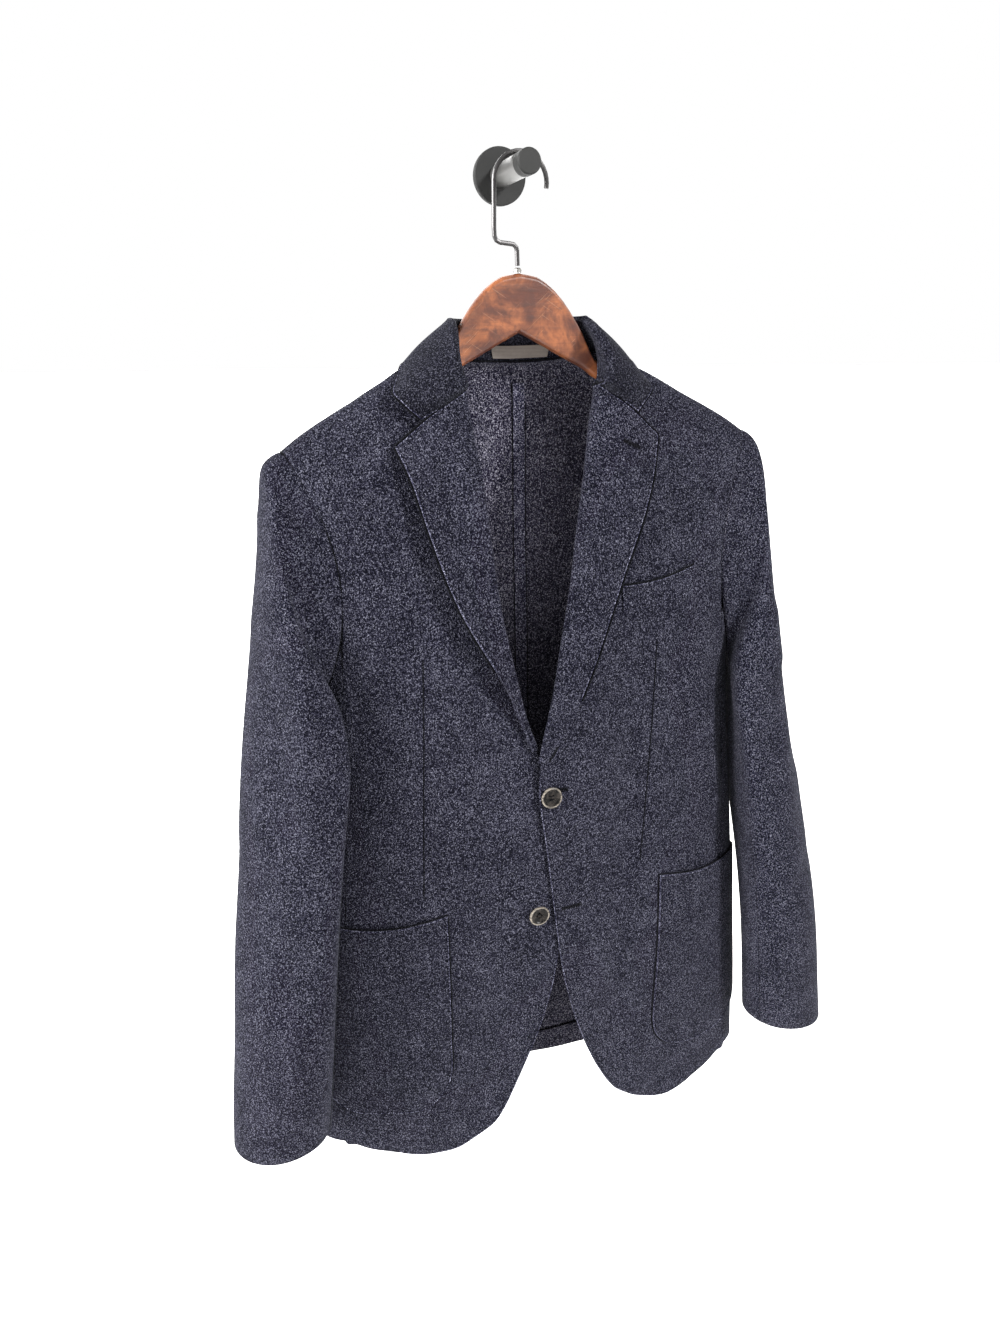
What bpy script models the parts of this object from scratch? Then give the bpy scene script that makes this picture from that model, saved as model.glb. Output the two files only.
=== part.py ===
"""A single breasted blazer on a wooden hanger, hung from a round wall peg.

Metres. +X is to the viewer's right, +Y goes into the wall and +Z is up. The origin is the centre of the
wall plate's back face, so the wall is the plane Y = 0 and everything hangs in front of it.
The cloth is one form: a torso of smooth sections under a shoulder ridge. Each panel is a net of points on
that form, thickened into a wall. "Own" X is measured from the centre to a panel's own side of the body.
"""

import math

import bmesh
import bpy
import numpy as np
from mathutils import Euler, Matrix

# ---- Driving dimensions -------------------------------------------------------------------------

CLOTH = 0.0016  # wall of a single panel
DOUBLE_CLOTH = 0.0020  # lapels and collar, two layers pressed together
TAPE = 0.0010  # strips sewn inside
SEAM_GAP = 0.0003  # between pieces that meet
SEAM = 0.00025  # how far each panel stops short of its seam
AT_RIDGE = 2e-6  # how far below the ridge the shoulder seam's edges are: it sets them about 0.4 mm apart
LEAN = 0.016  # sideways drift of the hanging cloth for each metre of drop
LEAN_FROM_Z = -0.15
TILT = 0.016  # rise of the cloth and hanger for each metre to the viewer's right
TILT_LOSS = 0.65  # share of it that the cloth loses for each metre of drop

RIDGE_RADIUS = 0.008  # the cloth's bend over the hanger's arm
SHOULDER_LEAN = {True: 0.45, False: 0.80}  # how far the front and back go out for each metre that they drop
FRONT_ROUND = 2.5  # exponents of the torso's sections: 2 is an ellipse, more is squarer
BACK_ROUND = 3.2

ARMHOLE_TOP_Z = -0.224
TOP_X = 0.2165  # where the shoulder seam ends at the armhole
ARMHOLE_LOW_Z = -0.442
ARMHOLE_DIP = {True: 0.130, False: 0.120}  # how far it cuts in, at the front and the back
SIDE_SEAM = {True: 0.90, False: 0.92}  # share of the half width where each side seam runs
FRONT_HEM_Z = -0.920
FRONT_HEM_SIDE_Z = -0.898  # at the side seam
BACK_HEM_Z = -0.912  # at the centre; the sides hang a little higher
BACK_HEM_DROP = -0.008
HEM_BAND = 0.024
BACK_SEAM_X = 0.005  # the centre back seam hangs a little to the viewer's right
BACK_COLUMNS = (0, 0.10, 0.20, 0.30, 0.41, 0.52, 0.63, 0.74, 0.84, 0.93, 1)

BUTTON_RADIUS = 0.0100
BUTTON_PLACES = {"button_top": (-0.0100, -0.536), "button_low": (-0.0210, -0.659)}

PLATE_RADIUS = 0.0240
PLATE_DEPTH = 0.005
PEG_RADIUS = 0.0098
PEG_CAP_RADIUS = 0.0104
PEG_CAP_FROM_Y = -0.066
PEG_END_Y = -0.079
WIRE_RADIUS = 0.0020
HANGER_Y = -0.052
HOOK_RADIUS = 0.0238
HOOK_CENTRE = (0.0017, -0.0117)
HANGER_DEPTH = 0.012
HANGER_EDGE = 0.0045  # height of its rounded edges


class Table:
    """Rows with named columns, read smoothly between the rows by the first column."""

    def __init__(self, columns, *rows):
        rows = sorted(rows)
        self.keys = np.array([row[0] for row in rows], float)
        self.values = {name: np.array([row[i] for row in rows], float) for i, name in enumerate(columns) if i}

    def at(self, name, key):
        """The column's value at a key: a cubic that never overshoots its rows."""
        keys, values = self.keys, self.values[name]
        key = np.clip(key, keys[0], keys[-1])
        width = np.diff(keys)
        rise = np.diff(values) / width
        both = rise[:-1] * rise[1:]
        slope = np.concatenate([rise[:1], np.zeros(len(rise) - 1), rise[-1:]])
        same_way = both > 0
        slope[1:-1][same_way] = 2 * both[same_way] / (rise[:-1] + rise[1:])[same_way]
        i = np.clip(np.searchsorted(keys, key) - 1, 0, len(width) - 1)
        t = (key - keys[i]) / width[i]
        return (
            (1 + 2 * t) * (1 - t) ** 2 * values[i]
            + t * (1 - t) ** 2 * width[i] * slope[i]
            + t * t * (3 - 2 * t) * values[i + 1]
            + t * t * (t - 1) * width[i] * slope[i + 1]
        )


# The torso's horizontal sections, from hem to shoulder.
TORSO = Table(
    ("z", "half_width", "y_side", "y_front", "y_back"),
    (-0.940, 0.242, -0.070, -0.131, -0.030),
    (-0.800, 0.233, -0.070, -0.138, -0.024),
    (-0.700, 0.226, -0.070, -0.142, -0.020),
    (-0.600, 0.217, -0.070, -0.143, -0.016),
    (-0.500, 0.208, -0.070, -0.142, -0.013),
    (-0.400, 0.205, -0.070, -0.139, -0.012),
    (-0.300, 0.210, -0.071, -0.130, -0.012),
    (-0.224, 0.217, -0.072, -0.121, -0.014),
    (-0.140, 0.219, -0.072, -0.106, -0.016),
)

# The shoulder ridge and the back neckline, from the centre out.
RIDGE = Table(
    ("x", "z", "y_front", "y_back"),
    (0.000, -0.157, -0.055, -0.024),
    (0.035, -0.156, -0.055, -0.027),
    (0.062, -0.152, -0.055, -0.038),
    (0.076, -0.149, -0.055, -0.055),
    (0.106, -0.161, -0.056, -0.056),
    (0.155, -0.187, -0.062, -0.062),
    (0.200, -0.212, -0.069, -0.069),
    (0.217, -0.224, -0.072, -0.072),
)

# The front panels' free edges in own X, from the rounded hem corner up to the neck. +1 is the wearer's
# left front, which lies on top; the other one's edge swings out of its way above the fastened button.
LOWER_EDGE = (
    (0.00, 0.062, -0.880),
    (0.07, 0.034, -0.828),
    (0.15, 0.012, -0.768),
    (0.24, 0.000, -0.700),
    (0.33, -0.008, -0.635),
    (0.42, -0.015, -0.575),
)
NECK_EDGE = ((0.965, 0.066, -0.183), (1.00, 0.076, -0.149))
FRONT_EDGE = {
    1: Table(
        ("way", "x", "z"),
        *LOWER_EDGE,
        (0.48, -0.0195, -0.540),
        (0.54, -0.0190, -0.510),
        (0.65, -0.0020, -0.436),
        (0.76, 0.0175, -0.355),
        (0.86, 0.0380, -0.270),
        (0.93, 0.0545, -0.213),
        *NECK_EDGE,
    ),
    -1: Table(
        ("way", "x", "z"),
        *LOWER_EDGE,
        (0.48, -0.0020, -0.535),
        (0.54, 0.0175, -0.500),
        (0.65, 0.0415, -0.430),
        (0.76, 0.0575, -0.350),
        (0.86, 0.0625, -0.275),
        (0.93, 0.0652, -0.213),
        *NECK_EDGE,
    ),
}
GORGE_WAY = 0.965  # where the lapel meets the collar

# The heights that the front panel's rows reach at the side seam and armhole.
SIDE_ROWS = Table(
    ("way", "z"),
    (0.00, -0.898),
    (0.15, -0.790),
    (0.33, -0.640),
    (0.54, -0.470),
    (0.65, -0.380),
    (0.76, -0.315),
    (0.86, -0.272),
    (0.93, -0.246),
    (1.00, -0.224),
)

# How far the top front stands out over the one under it, along the overlap.
OVERLAP = Table(
    ("z", "lift"),
    (-0.94, 0.0020),
    (-0.72, 0.0030),
    (-0.58, 0.0036),
    (-0.51, 0.0074),
    (-0.43, 0.0074),
    (-0.37, 0.0034),
    (-0.30, 0.0000),
)
OVERLAP_NEAR = 0.030
OVERLAP_FAR = 0.085

SPREAD = 0.005  # both ends of the collar sit this far to the viewer's left of symmetry
# Each lapel's outer edge in own X, from the break up to its point, its roll, and how far more it stands off.
LAPEL = {
    1: Table(
        ("way", "x", "z", "roll", "more"),
        (0.555, -0.0110, -0.5010, 0.0016, 0.0000),
        (0.600, 0.0045, -0.4760, 0.0018, 0.0000),
        (0.650, 0.0240, -0.4350, 0.0021, 0.0004),
        (0.760, 0.0600, -0.3550, 0.0030, 0.0012),
        (0.860, 0.0890, -0.2930, 0.0038, 0.0008),
        (0.930, 0.1060, -0.2490, 0.0043, 0.0002),
        (0.965, 0.1135, -0.2225, 0.0045, 0.0000),
    ),
    -1: Table(
        ("way", "x", "z", "roll", "more"),
        (0.555, 0.0255, -0.4910, 0.0016, 0.0000),
        (0.600, 0.0350, -0.4620, 0.0018, 0.0012),
        (0.650, 0.0500, -0.4300, 0.0021, 0.0032),
        (0.760, 0.0895, -0.3530, 0.0030, 0.0052),
        (0.860, 0.1090, -0.2900, 0.0038, 0.0040),
        (0.930, 0.1190, -0.2480, 0.0043, 0.0014),
        (0.965, 0.1272, -0.2220, 0.0045, 0.0000),
    ),
}
LAPEL_LIFT = 0.0055  # how far the lapel's edge stands off the front
NOTCH = 0.57  # where the collar ends, as a share of the lapel's top edge from the roll

# The collar from the gorge round to the centre of the back. rise points up the stand, out over the fall.
COLLAR = Table(
    ("station", "crest_x", "crest_y", "crest_z", "rise_x", "rise_y", "rise_z",
     "out_x", "out_y", "out_z", "roll"),
    (0, 0.0618, -0.1000, -0.1800, -0.85, 0.00, 0.52, 0.10, -0.99, 0.10, 0.0045),
    (1, 0.0655, -0.0900, -0.1560, -0.75, -0.10, 0.65, 0.45, -0.80, 0.35, 0.0042),
    (2, 0.0620, -0.0740, -0.1335, -0.50, -0.05, 0.86, 0.80, -0.45, 0.40, 0.0038),
    (3, 0.0592, -0.0570, -0.1232, -0.40, 0.00, 0.91, 0.91, 0.00, 0.40, 0.0036),
    (4, 0.0508, -0.0370, -0.1206, -0.25, 0.05, 0.96, 0.80, 0.58, 0.15, 0.0034),
    (5, 0.0310, -0.0270, -0.1205, -0.10, 0.10, 0.99, 0.35, 0.93, 0.00, 0.0032),
    (6, 0.0000, -0.0240, -0.1205, 0.00, 0.10, 0.99, 0.00, 1.00, 0.00, 0.0032),
)
# The collar's outer edge by the same stations.
COLLAR_EDGE = Table(
    ("station", "x", "y", "z"),
    (0.5, 0.1140, -0.0930, -0.1850),
    (1.0, 0.1170, -0.0860, -0.1800),
    (2.0, 0.1105, -0.0700, -0.1680),
    (3.0, 0.1040, -0.0555, -0.1566),
    (4.0, 0.0850, -0.0312, -0.1618),
    (5.0, 0.0450, -0.0113, -0.1678),
    (6.0, 0.0000, -0.0100, -0.1690),
)

# The sleeve's rings, from just outside the armhole down to the cuff. turn_in brings its
# inner side forward, and lobe is the fold that hangs over the front of the armhole.
SLEEVE = Table(
    ("ring", "x_outer", "x_inner", "y_front", "y_back", "z_outer", "z_inner", "turn_in", "lobe"),
    (1.0, 0.2330, 0.2115, -0.112, -0.034, -0.2400, -0.4480, 0.004, 0.014),
    (2.0, 0.2370, 0.2100, -0.122, -0.030, -0.2680, -0.4600, 0.012, 0.022),
    (3.0, 0.2460, 0.2080, -0.131, -0.030, -0.3300, -0.4850, 0.018, 0.024),
    (4.0, 0.2600, 0.2070, -0.139, -0.034, -0.4100, -0.5250, 0.022, 0.019),
    (5.0, 0.2750, 0.2080, -0.147, -0.044, -0.5000, -0.5750, 0.022, 0.012),
    (6.0, 0.2910, 0.2140, -0.159, -0.067, -0.6150, -0.6500, 0.016, 0.006),
    (7.0, 0.3070, 0.2220, -0.166, -0.080, -0.7380, -0.7520, 0.010, 0.002),
    (8.0, 0.3200, 0.2310, -0.163, -0.082, -0.8585, -0.8445, 0.006, 0.000),
)
LOBE_AT = 138.0  # degrees round the sleeve where it folds forward over the armhole's lower front
LOBE_WIDTH = 30.0
SLEEVE_CLEAR = 0.024  # how far outside the torso the sleeve stays, as a share of the torso's section
SLEEVE_SEAMS = (156.0, 262.0)  # degrees round the sleeve: 0 is its outside, 90 its front
SLEEVE_START = (0.0012, 0.0026)  # how far outside the armhole it starts, at the top and at the bottom

POCKET = {"inner_x": 0.109, "outer_share": 0.984, "top_in_z": -0.6445, "top_out_z": -0.6525,
          "low_z": -0.862, "corner": 0.045, "sag": 0.004, "gape": 0.0026}
WELT = {"inner_x": 0.067, "outer_x": 0.144, "inner_z": -0.3500, "outer_z": -0.3390,
        "height": 0.023, "sag": 0.0035}

# The hanger's outline: one arm, from the neck to the tip.
HANGER = Table(
    ("x", "z_top", "z_low", "y"),
    (0.000, -0.0835, -0.1325, -0.0520),
    (0.015, -0.0860, -0.1400, -0.0520),
    (0.028, -0.0935, -0.1468, -0.0520),
    (0.040, -0.1050, -0.1530, -0.0520),
    (0.051, -0.1200, -0.1588, -0.0525),
    (0.060, -0.1350, -0.1635, -0.0535),
    (0.070, -0.1550, -0.1710, -0.0545),
    (0.085, -0.1640, -0.1800, -0.0555),
    (0.110, -0.1720, -0.1920, -0.0575),
    (0.155, -0.1925, -0.2140, -0.0625),
    (0.195, -0.2160, -0.2370, -0.0690),
)

COLOURS = {  # base colour, roughness, metallic
    "cloth": ((0.050, 0.056, 0.085), 0.95, 0.0),
    "tape": ((0.300, 0.265, 0.225), 0.55, 0.0),
    "horn": ((0.230, 0.205, 0.170), 0.30, 0.0),
    "wood": ((0.230, 0.075, 0.030), 0.35, 0.0),
    "wire": ((0.060, 0.060, 0.058), 0.38, 0.9),
    "gunmetal": ((0.045, 0.047, 0.046), 0.42, 0.8),
    "nickel": ((0.620, 0.600, 0.570), 0.25, 1.0),
}


# ---- Setting up ---------------------------------------------------------------------------------


def clear_scene():
    for thing in list(bpy.data.objects):
        bpy.data.objects.remove(thing)


def make_material(name):
    colour, roughness, metallic = COLOURS[name]
    material = bpy.data.materials.new(name)
    material.use_nodes = True
    shader = material.node_tree.nodes["Principled BSDF"]
    shader.inputs["Base Color"].default_value = (*colour, 1.0)
    shader.inputs["Roughness"].default_value = roughness
    shader.inputs["Metallic"].default_value = metallic
    return material


def add(name, data, material):
    """A new object of the blazer's collection."""
    thing = bpy.data.objects.new(name, data)
    data.materials.append(bpy.data.materials[material])
    bpy.data.collections["blazer_on_hanger"].objects.link(thing)
    return thing


# ---- The form of the cloth ----------------------------------------------------------------------


def body_y(x, z, front):
    """Y of the torso's cloth at a place seen from the front: the front sheet, or the back one."""
    x = np.abs(x)
    power = FRONT_ROUND if front else BACK_ROUND
    y_side = TORSO.at("y_side", z)
    reach = TORSO.at("y_front" if front else "y_back", z) - y_side
    inside = np.clip(1 - (x / TORSO.at("half_width", z)) ** power, 0, 1)
    section = y_side + reach * inside ** (1 / power)
    ridge_y = RIDGE.at("y_front" if front else "y_back", x)
    drop = np.maximum(RIDGE.at("z", x) - z, 0)
    from_ridge = np.sqrt(2 * RIDGE_RADIUS * drop + (SHOULDER_LEAN[front] * drop) ** 2)
    way = -1 if front else 1
    from_section = np.maximum(way * (section - ridge_y), 1e-7)
    depth = (from_section**-4 + np.maximum(from_ridge, 1e-7) ** -4) ** -0.25
    return ridge_y + way * depth


def on_body(x, z, front, lift=0.0):
    """Points on the torso's cloth, moved out from it by lift."""
    x, z, lift = np.broadcast_arrays(np.asarray(x, float), np.asarray(z, float), np.asarray(lift, float))
    step = 0.0008
    y = body_y(x, z, front)
    slope_x = (body_y(x + step, z, front) - body_y(x - step, z, front)) / (2 * step)
    slope_z = (body_y(x, z + step, front) - body_y(x, z - step, front)) / (2 * step)
    out = np.stack([slope_x, -np.ones_like(y), slope_z], axis=-1) * (1 if front else -1)
    out /= np.linalg.norm(out, axis=-1, keepdims=True)
    return np.stack([x, y, z], axis=-1) + out * lift[..., None]


def overlap_lift(x, z, over):
    """How far the front that lies on top stands out from the form, near the centre."""
    near = np.clip((OVERLAP_FAR - x) / (OVERLAP_FAR - OVERLAP_NEAR), 0, 1)
    return OVERLAP.at("lift", z) * near * near * (3 - 2 * near) * over


def armhole(turn, front):
    """The armhole's (own X, Z), by the turn from its top, 0, to its lowest point, pi."""
    middle, half = (ARMHOLE_TOP_Z + ARMHOLE_LOW_Z) / 2, (ARMHOLE_TOP_Z - ARMHOLE_LOW_Z) / 2
    z = middle + half * np.cos(turn)
    share = 1 - ARMHOLE_DIP[front] * np.sin(turn) ** 2
    return share * TORSO.at("half_width", z), z


def armhole_turn(share, front):
    """The turn, past the widest, where the armhole has this share of the half width."""
    return math.pi - np.arcsin(np.sqrt(np.clip((1 - share) / ARMHOLE_DIP[front], 0, 1)))


def outer_edge(z, front):
    """A front or back panel's outer edge at a height: the side seam, then the armhole."""
    middle, half = (ARMHOLE_TOP_Z + ARMHOLE_LOW_Z) / 2, (ARMHOLE_TOP_Z - ARMHOLE_LOW_Z) / 2
    turn = np.arccos(np.clip((z - middle) / half, -1, 1))
    corner_z = armhole(armhole_turn(SIDE_SEAM[front], front), front)[1]
    share = np.where(z > corner_z, 1 - ARMHOLE_DIP[front] * np.sin(turn) ** 2, SIDE_SEAM[front])
    return share * TORSO.at("half_width", z) - SEAM, z


def patch(bottom, top, left, right, u, v):
    """A net of (X, Z) inside four edges, each a function of its own 0 to 1 (Coons's blend)."""
    u, v = np.meshgrid(u, v)
    b, t, l, r = (np.stack(edge, axis=-1) for edge in (bottom(u), top(u), left(v), right(v)))
    corners = [np.array([float(c) for c in edge(np.array(at))]) for edge, at in
               ((bottom, 0.0), (bottom, 1.0), (top, 0.0), (top, 1.0))]
    u, v = u[..., None], v[..., None]
    return (
        (1 - v) * b + v * t + (1 - u) * l + u * r
        - (1 - u) * (1 - v) * corners[0] - u * (1 - v) * corners[1]
        - (1 - u) * v * corners[2] - u * v * corners[3]
    )


# ---- Making cloth -------------------------------------------------------------------------------


def mirrored(points, side):
    """Own X becomes the row's X."""
    return points * np.array([side, 1, 1])


def hang(points):
    """Adds the tilt on the hanger and the slight sideways drift of the hanging cloth."""
    moved = np.array(points, float)
    drop = (LEAN_FROM_Z - moved[..., 2]).clip(0)
    moved[..., 2] += TILT * (1 - TILT_LOSS * drop) * moved[..., 0]
    moved[..., 0] += LEAN * drop
    return moved


def cloth(name, points, material="cloth", thickness=CLOTH, centred=0.0):
    """A cloth wall through a net of points, rows by columns: a grid, bent to them, then thickened."""
    points = hang(points)
    rows, columns = points.shape[:2]
    net = bmesh.new()
    bmesh.ops.create_grid(net, x_segments=columns - 1, y_segments=rows - 1, size=0.5)
    for vertex in net.verts:
        column = round((vertex.co.x + 0.5) * (columns - 1))
        row = round((vertex.co.y + 0.5) * (rows - 1))
        vertex.co = points[row, column]
    mesh = bpy.data.meshes.new(name)
    net.to_mesh(mesh)
    net.free()
    mesh.shade_smooth()
    piece = add(name, mesh, material)
    wall = piece.modifiers.new("wall", "SOLIDIFY")
    wall.thickness = thickness
    wall.offset = centred
    return piece


def front_panel(name, side, over):
    """One front: hem, free edge, roll line, shoulder seam, armhole and side seam."""
    def bottom(u):
        outer = SIDE_SEAM[True] * TORSO.at("half_width", FRONT_HEM_Z) - SEAM
        fall = np.sin(np.clip(u / 0.55, 0, 1) * math.pi / 2) ** 0.9
        rise = (FRONT_HEM_SIDE_Z - FRONT_HEM_Z) * np.clip((u - 0.45) / 0.55, 0, 1) ** 1.6
        return 0.062 + (outer - 0.062) * u, -0.880 + (FRONT_HEM_Z + 0.880) * fall + rise

    def top(u):
        x = 0.076 + (TOP_X - 0.076) * u
        return x, RIDGE.at("z", x) - AT_RIDGE

    def left(v):
        return FRONT_EDGE[side].at("x", v) + 0 * v, FRONT_EDGE[side].at("z", v)

    def right(v):
        return outer_edge(SIDE_ROWS.at("z", v), True)

    u = np.array([0, 0.05, 0.13, 0.23, 0.34, 0.46, 0.58, 0.69, 0.79, 0.88, 0.95, 1])
    v = np.array([0, 0.05, 0.10, 0.16, 0.24, 0.32, 0.40, 0.47, 0.54, 0.61, 0.68, 0.75, 0.82, 0.88,
                  0.92, 0.95, 0.972, 0.988, 0.997, 1])
    net = patch(bottom, top, left, right, u, v)
    x, z = net[..., 0], net[..., 1]
    points = on_body(x, z, True, overlap_lift(x, z, over))
    return cloth(name, mirrored(points, side))


def back_x(side, share, z):
    """Own X of a half back's columns, from the centre seam out to the side seam."""
    start = side * BACK_SEAM_X + SEAM
    return start + (SIDE_SEAM[False] * TORSO.at("half_width", z) - SEAM - start) * share


def back_panel(name, side):
    """One half of the back: centre seam, neckline, shoulder seam, armhole and side seam."""
    hem = BACK_HEM_Z
    start = side * BACK_SEAM_X + SEAM

    def bottom(u):
        return back_x(side, u, hem), hem - BACK_HEM_DROP * u * u

    def top(u):
        x = start + (TOP_X - start) * u
        return x, RIDGE.at("z", np.abs(x)) - AT_RIDGE

    def left(v):
        return start + 0 * v, hem + (RIDGE.at("z", abs(start)) - AT_RIDGE - hem) * v

    def right(v):
        heights = [hem - BACK_HEM_DROP, -0.415, -0.31, -0.258, ARMHOLE_TOP_Z]
        z = np.interp(v, [0, 0.66, 0.80, 0.90, 1], heights)
        return outer_edge(z, False)

    u = np.array(BACK_COLUMNS)
    v = np.array([0, 0.10, 0.21, 0.33, 0.45, 0.56, 0.66, 0.74, 0.81, 0.87, 0.92, 0.955, 0.98, 0.995, 1])
    net = patch(bottom, top, left, right, u, v)
    x, z = net[..., 0], net[..., 1]
    return cloth(name, mirrored(on_body(x, z, False), side))


def side_panel(name, side):
    """The panel under the arm: it runs from the front's side seam round to the back's, under the armhole."""
    columns = []
    for front, turns in ((True, (1, 0.8, 0.6, 0.4, 0.2, 0)), (False, (0.2, 0.4, 0.6, 0.8, 1))):
        power = FRONT_ROUND if front else BACK_ROUND
        widest = math.acos(SIDE_SEAM[front] ** (power / 2)) - SEAM / 0.04
        for part in turns:
            share = math.cos(widest * part) ** (2 / power)
            top = float(armhole(armhole_turn(share, front), front)[1]) - SEAM
            hem_z = FRONT_HEM_SIDE_Z if front else BACK_HEM_Z - BACK_HEM_DROP
            z = hem_z + (top - hem_z) * np.array([0, 0.12, 0.26, 0.40, 0.54, 0.67, 0.79, 0.88, 0.95, 1])
            x = share * TORSO.at("half_width", z)
            columns.append(np.stack([x, body_y(x, z, front), z], axis=-1))
    return cloth(name, mirrored(np.stack(columns, axis=1), side))


# ---- Lapels and collar --------------------------------------------------------------------------

ROLL_TURNS = (0.0, 45.0, 90.0, 135.0, 180.0)


def lapel_row(way, shares, over, side):
    """One row of a lapel: round its roll from the front's free edge, then out over the front."""
    inner = np.array([FRONT_EDGE[side].at(axis, way) for axis in "xz"])
    outer = np.array([LAPEL[side].at(axis, way) for axis in "xz"])
    inward = (inner - outer) / np.linalg.norm(inner - outer)
    roll = LAPEL[side].at("roll", way)
    places, lifts = [], []
    off = np.clip((way - 0.60) / 0.14, 0, 1)
    edge_lift = 0.0030 + (LAPEL_LIFT - 0.0030) * off + LAPEL[side].at("more", way)
    for degrees in ROLL_TURNS:
        turn = math.radians(degrees)
        places.append(inner + inward * (0.0012 + roll * math.sin(turn)))
        lifts.append(roll * (1 - math.cos(turn)))
    for share in shares:
        places.append(inner + (outer - inner) * share)
        lifts.append(2 * roll + (edge_lift - 2 * roll) * share + 0.0012 * off * math.sin(math.pi * share))
    x, z = np.array(places).T
    return on_body(x, z, True, np.array(lifts) + overlap_lift(x, z, over))


def lapel(name, side, over):
    ways = (0.555, 0.58, 0.61, 0.645, 0.68, 0.715, 0.75, 0.785, 0.82, 0.85, 0.88, 0.92, 0.95,
            GORGE_WAY - 0.0018)
    rows = [lapel_row(way, (0.12, 0.27, 0.42, 0.57, 0.72, 0.87, 1), over, side) for way in ways]
    return cloth(name, mirrored(np.array(rows), side), thickness=DOUBLE_CLOTH)


def vector(table, prefix, key):
    return np.array([float(table.at(prefix + axis, key)) for axis in "xyz"])


def neckline(station, side):
    """Where the collar stand is sewn: up the front's neck edge, then round the back neck, clear of both."""
    if station <= 3:
        way = GORGE_WAY + (1 - GORGE_WAY) * station / 3
        x, z = (FRONT_EDGE[side].at(axis, way) for axis in "xz")
        return on_body(x - 0.0018, z + 0.0012, True)
    x = 0.0742 * (2 - station / 3)
    return np.array([x, float(RIDGE.at("y_back", x)), float(RIDGE.at("z", x)) + 0.0016])


def stand(station, side):
    """The collar stand at a station: (its seam, the foot of its roll, the way out to the fall)."""
    rise, out = (vector(COLLAR, name, station) for name in ("rise_", "out_"))
    rise /= np.linalg.norm(rise)
    out /= np.linalg.norm(out)
    foot = vector(COLLAR, "crest_", station) - rise * COLLAR.at("roll", station)
    return neckline(station, side), foot, rise, out


def collar_row(station, side):
    """One row of the collar: up the stand from its seam, over the roll and down the fall."""
    if station == 0:  # the gorge: it follows the lapel's top edge as far as the notch
        row = lapel_row(GORGE_WAY, np.array([0.30, 0.62, 0.86, 1.0]) * NOTCH, 0.0, side)
        row = row + np.array([0, 0, 0.0011])
        start = row[0] + np.array([-0.0016, 0.0036, 0.0028])
        return np.concatenate([[start, (start + row[0]) / 2], row])
    seam, foot, rise, out = stand(station, side)
    roll = COLLAR.at("roll", station)
    edge = vector(COLLAR_EDGE, "", max(station, 0.5))
    edge[0] -= side * SPREAD * min(max((3 - station) / 2, 0), 1)
    if station < 0.5:
        edge += (collar_row(0, side)[-1] - edge) * (1 - 2 * station)
    points = [seam, (seam + foot) / 2]
    for degrees in ROLL_TURNS:
        turn = math.radians(degrees)
        points.append(foot + out * roll * (1 - math.cos(turn)) + rise * roll * math.sin(turn))
    over_roll = points[-1]
    for share in (0.30, 0.62, 0.86, 1.0):
        bulge = 0.0020 * math.sin(math.pi * share)
        points.append(over_roll + (edge - over_roll) * share + out * bulge)
    return np.array(points)


def collar(name):
    stations = (0, 0.25, 0.5, 1, 1.6, 2.3, 3, 3.6, 4.2, 5, 6)
    left = [collar_row(station, 1) for station in stations]
    right = [mirrored(collar_row(station, -1), -1) for station in stations[-2::-1]]
    return cloth(name, np.array(left + right), thickness=DOUBLE_CLOTH)


def neck_tape(name):
    """The bare strip sewn inside the collar stand, over the back neck seam."""
    rows = []
    for station in (4.52, 4.7, 4.95, 5.3, 5.65, 6, 5.7, 5.36):
        seam, foot, _, out = stand(station, 1)
        inside = -out * (DOUBLE_CLOTH / 2 + SEAM_GAP + TAPE / 2 + 0.0005)
        rows.append([seam + (foot - seam) * share + inside for share in (0.06, 0.22, 0.38)])
    rows = np.array(rows)
    return cloth(name, np.concatenate([rows[:6], mirrored(rows[6:], -1)]), "tape", TAPE)


# ---- Sleeves ------------------------------------------------------------------------------------


def sleeve_ring(ring, degrees):
    """A point of the sleeve: ring 0 is the armhole, and the table's rings follow it down to the cuff."""
    turn = math.radians(degrees)
    if ring < 1:
        front = degrees % 360 <= 180
        at = turn if front else math.tau - turn
        x, z = armhole(at % math.tau, front)
        low = (1 - math.cos(at)) / 2
        start = np.array([float(x) + SLEEVE_START[0] + low * (SLEEVE_START[1] - SLEEVE_START[0]),
                          float(body_y(x, z, front)), float(z)])
        end = sleeve_ring(1.0, degrees)
        reach = np.linalg.norm(end - start)
        forward = max(0.0, -math.sin(2 * turn)) if front else 0.0
        outward, round_front = np.array([0.93, 0.0, -0.36]), np.array([-0.2, -1.0, -0.1])
        leave = reach * ((1 - forward) * outward + forward * round_front)
        arrive = (sleeve_ring(1.2, degrees) - end) / 0.2
        t = ring
        return (
            (1 + 2 * t) * (1 - t) ** 2 * start + t * (1 - t) ** 2 * leave
            + t * t * (3 - 2 * t) * end + t * t * (t - 1) * arrive
        )
    outer, inner, front, back, high, low, turn_in, lobe = (float(SLEEVE.at(c, ring)) for c in SLEEVE.values)
    across, deep = math.cos(turn), math.sin(turn)
    fold = lobe * math.exp(-(((degrees % 360 - LOBE_AT) / LOBE_WIDTH) ** 2))
    return outside_torso(
        (outer + inner) / 2 + (outer - inner) / 2 * across - fold,
        (front + back) / 2 + (front - back) / 2 * deep + turn_in * across - fold * 0.45,
        (high + low) / 2 + (high - low) / 2 * across,
    )


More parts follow.
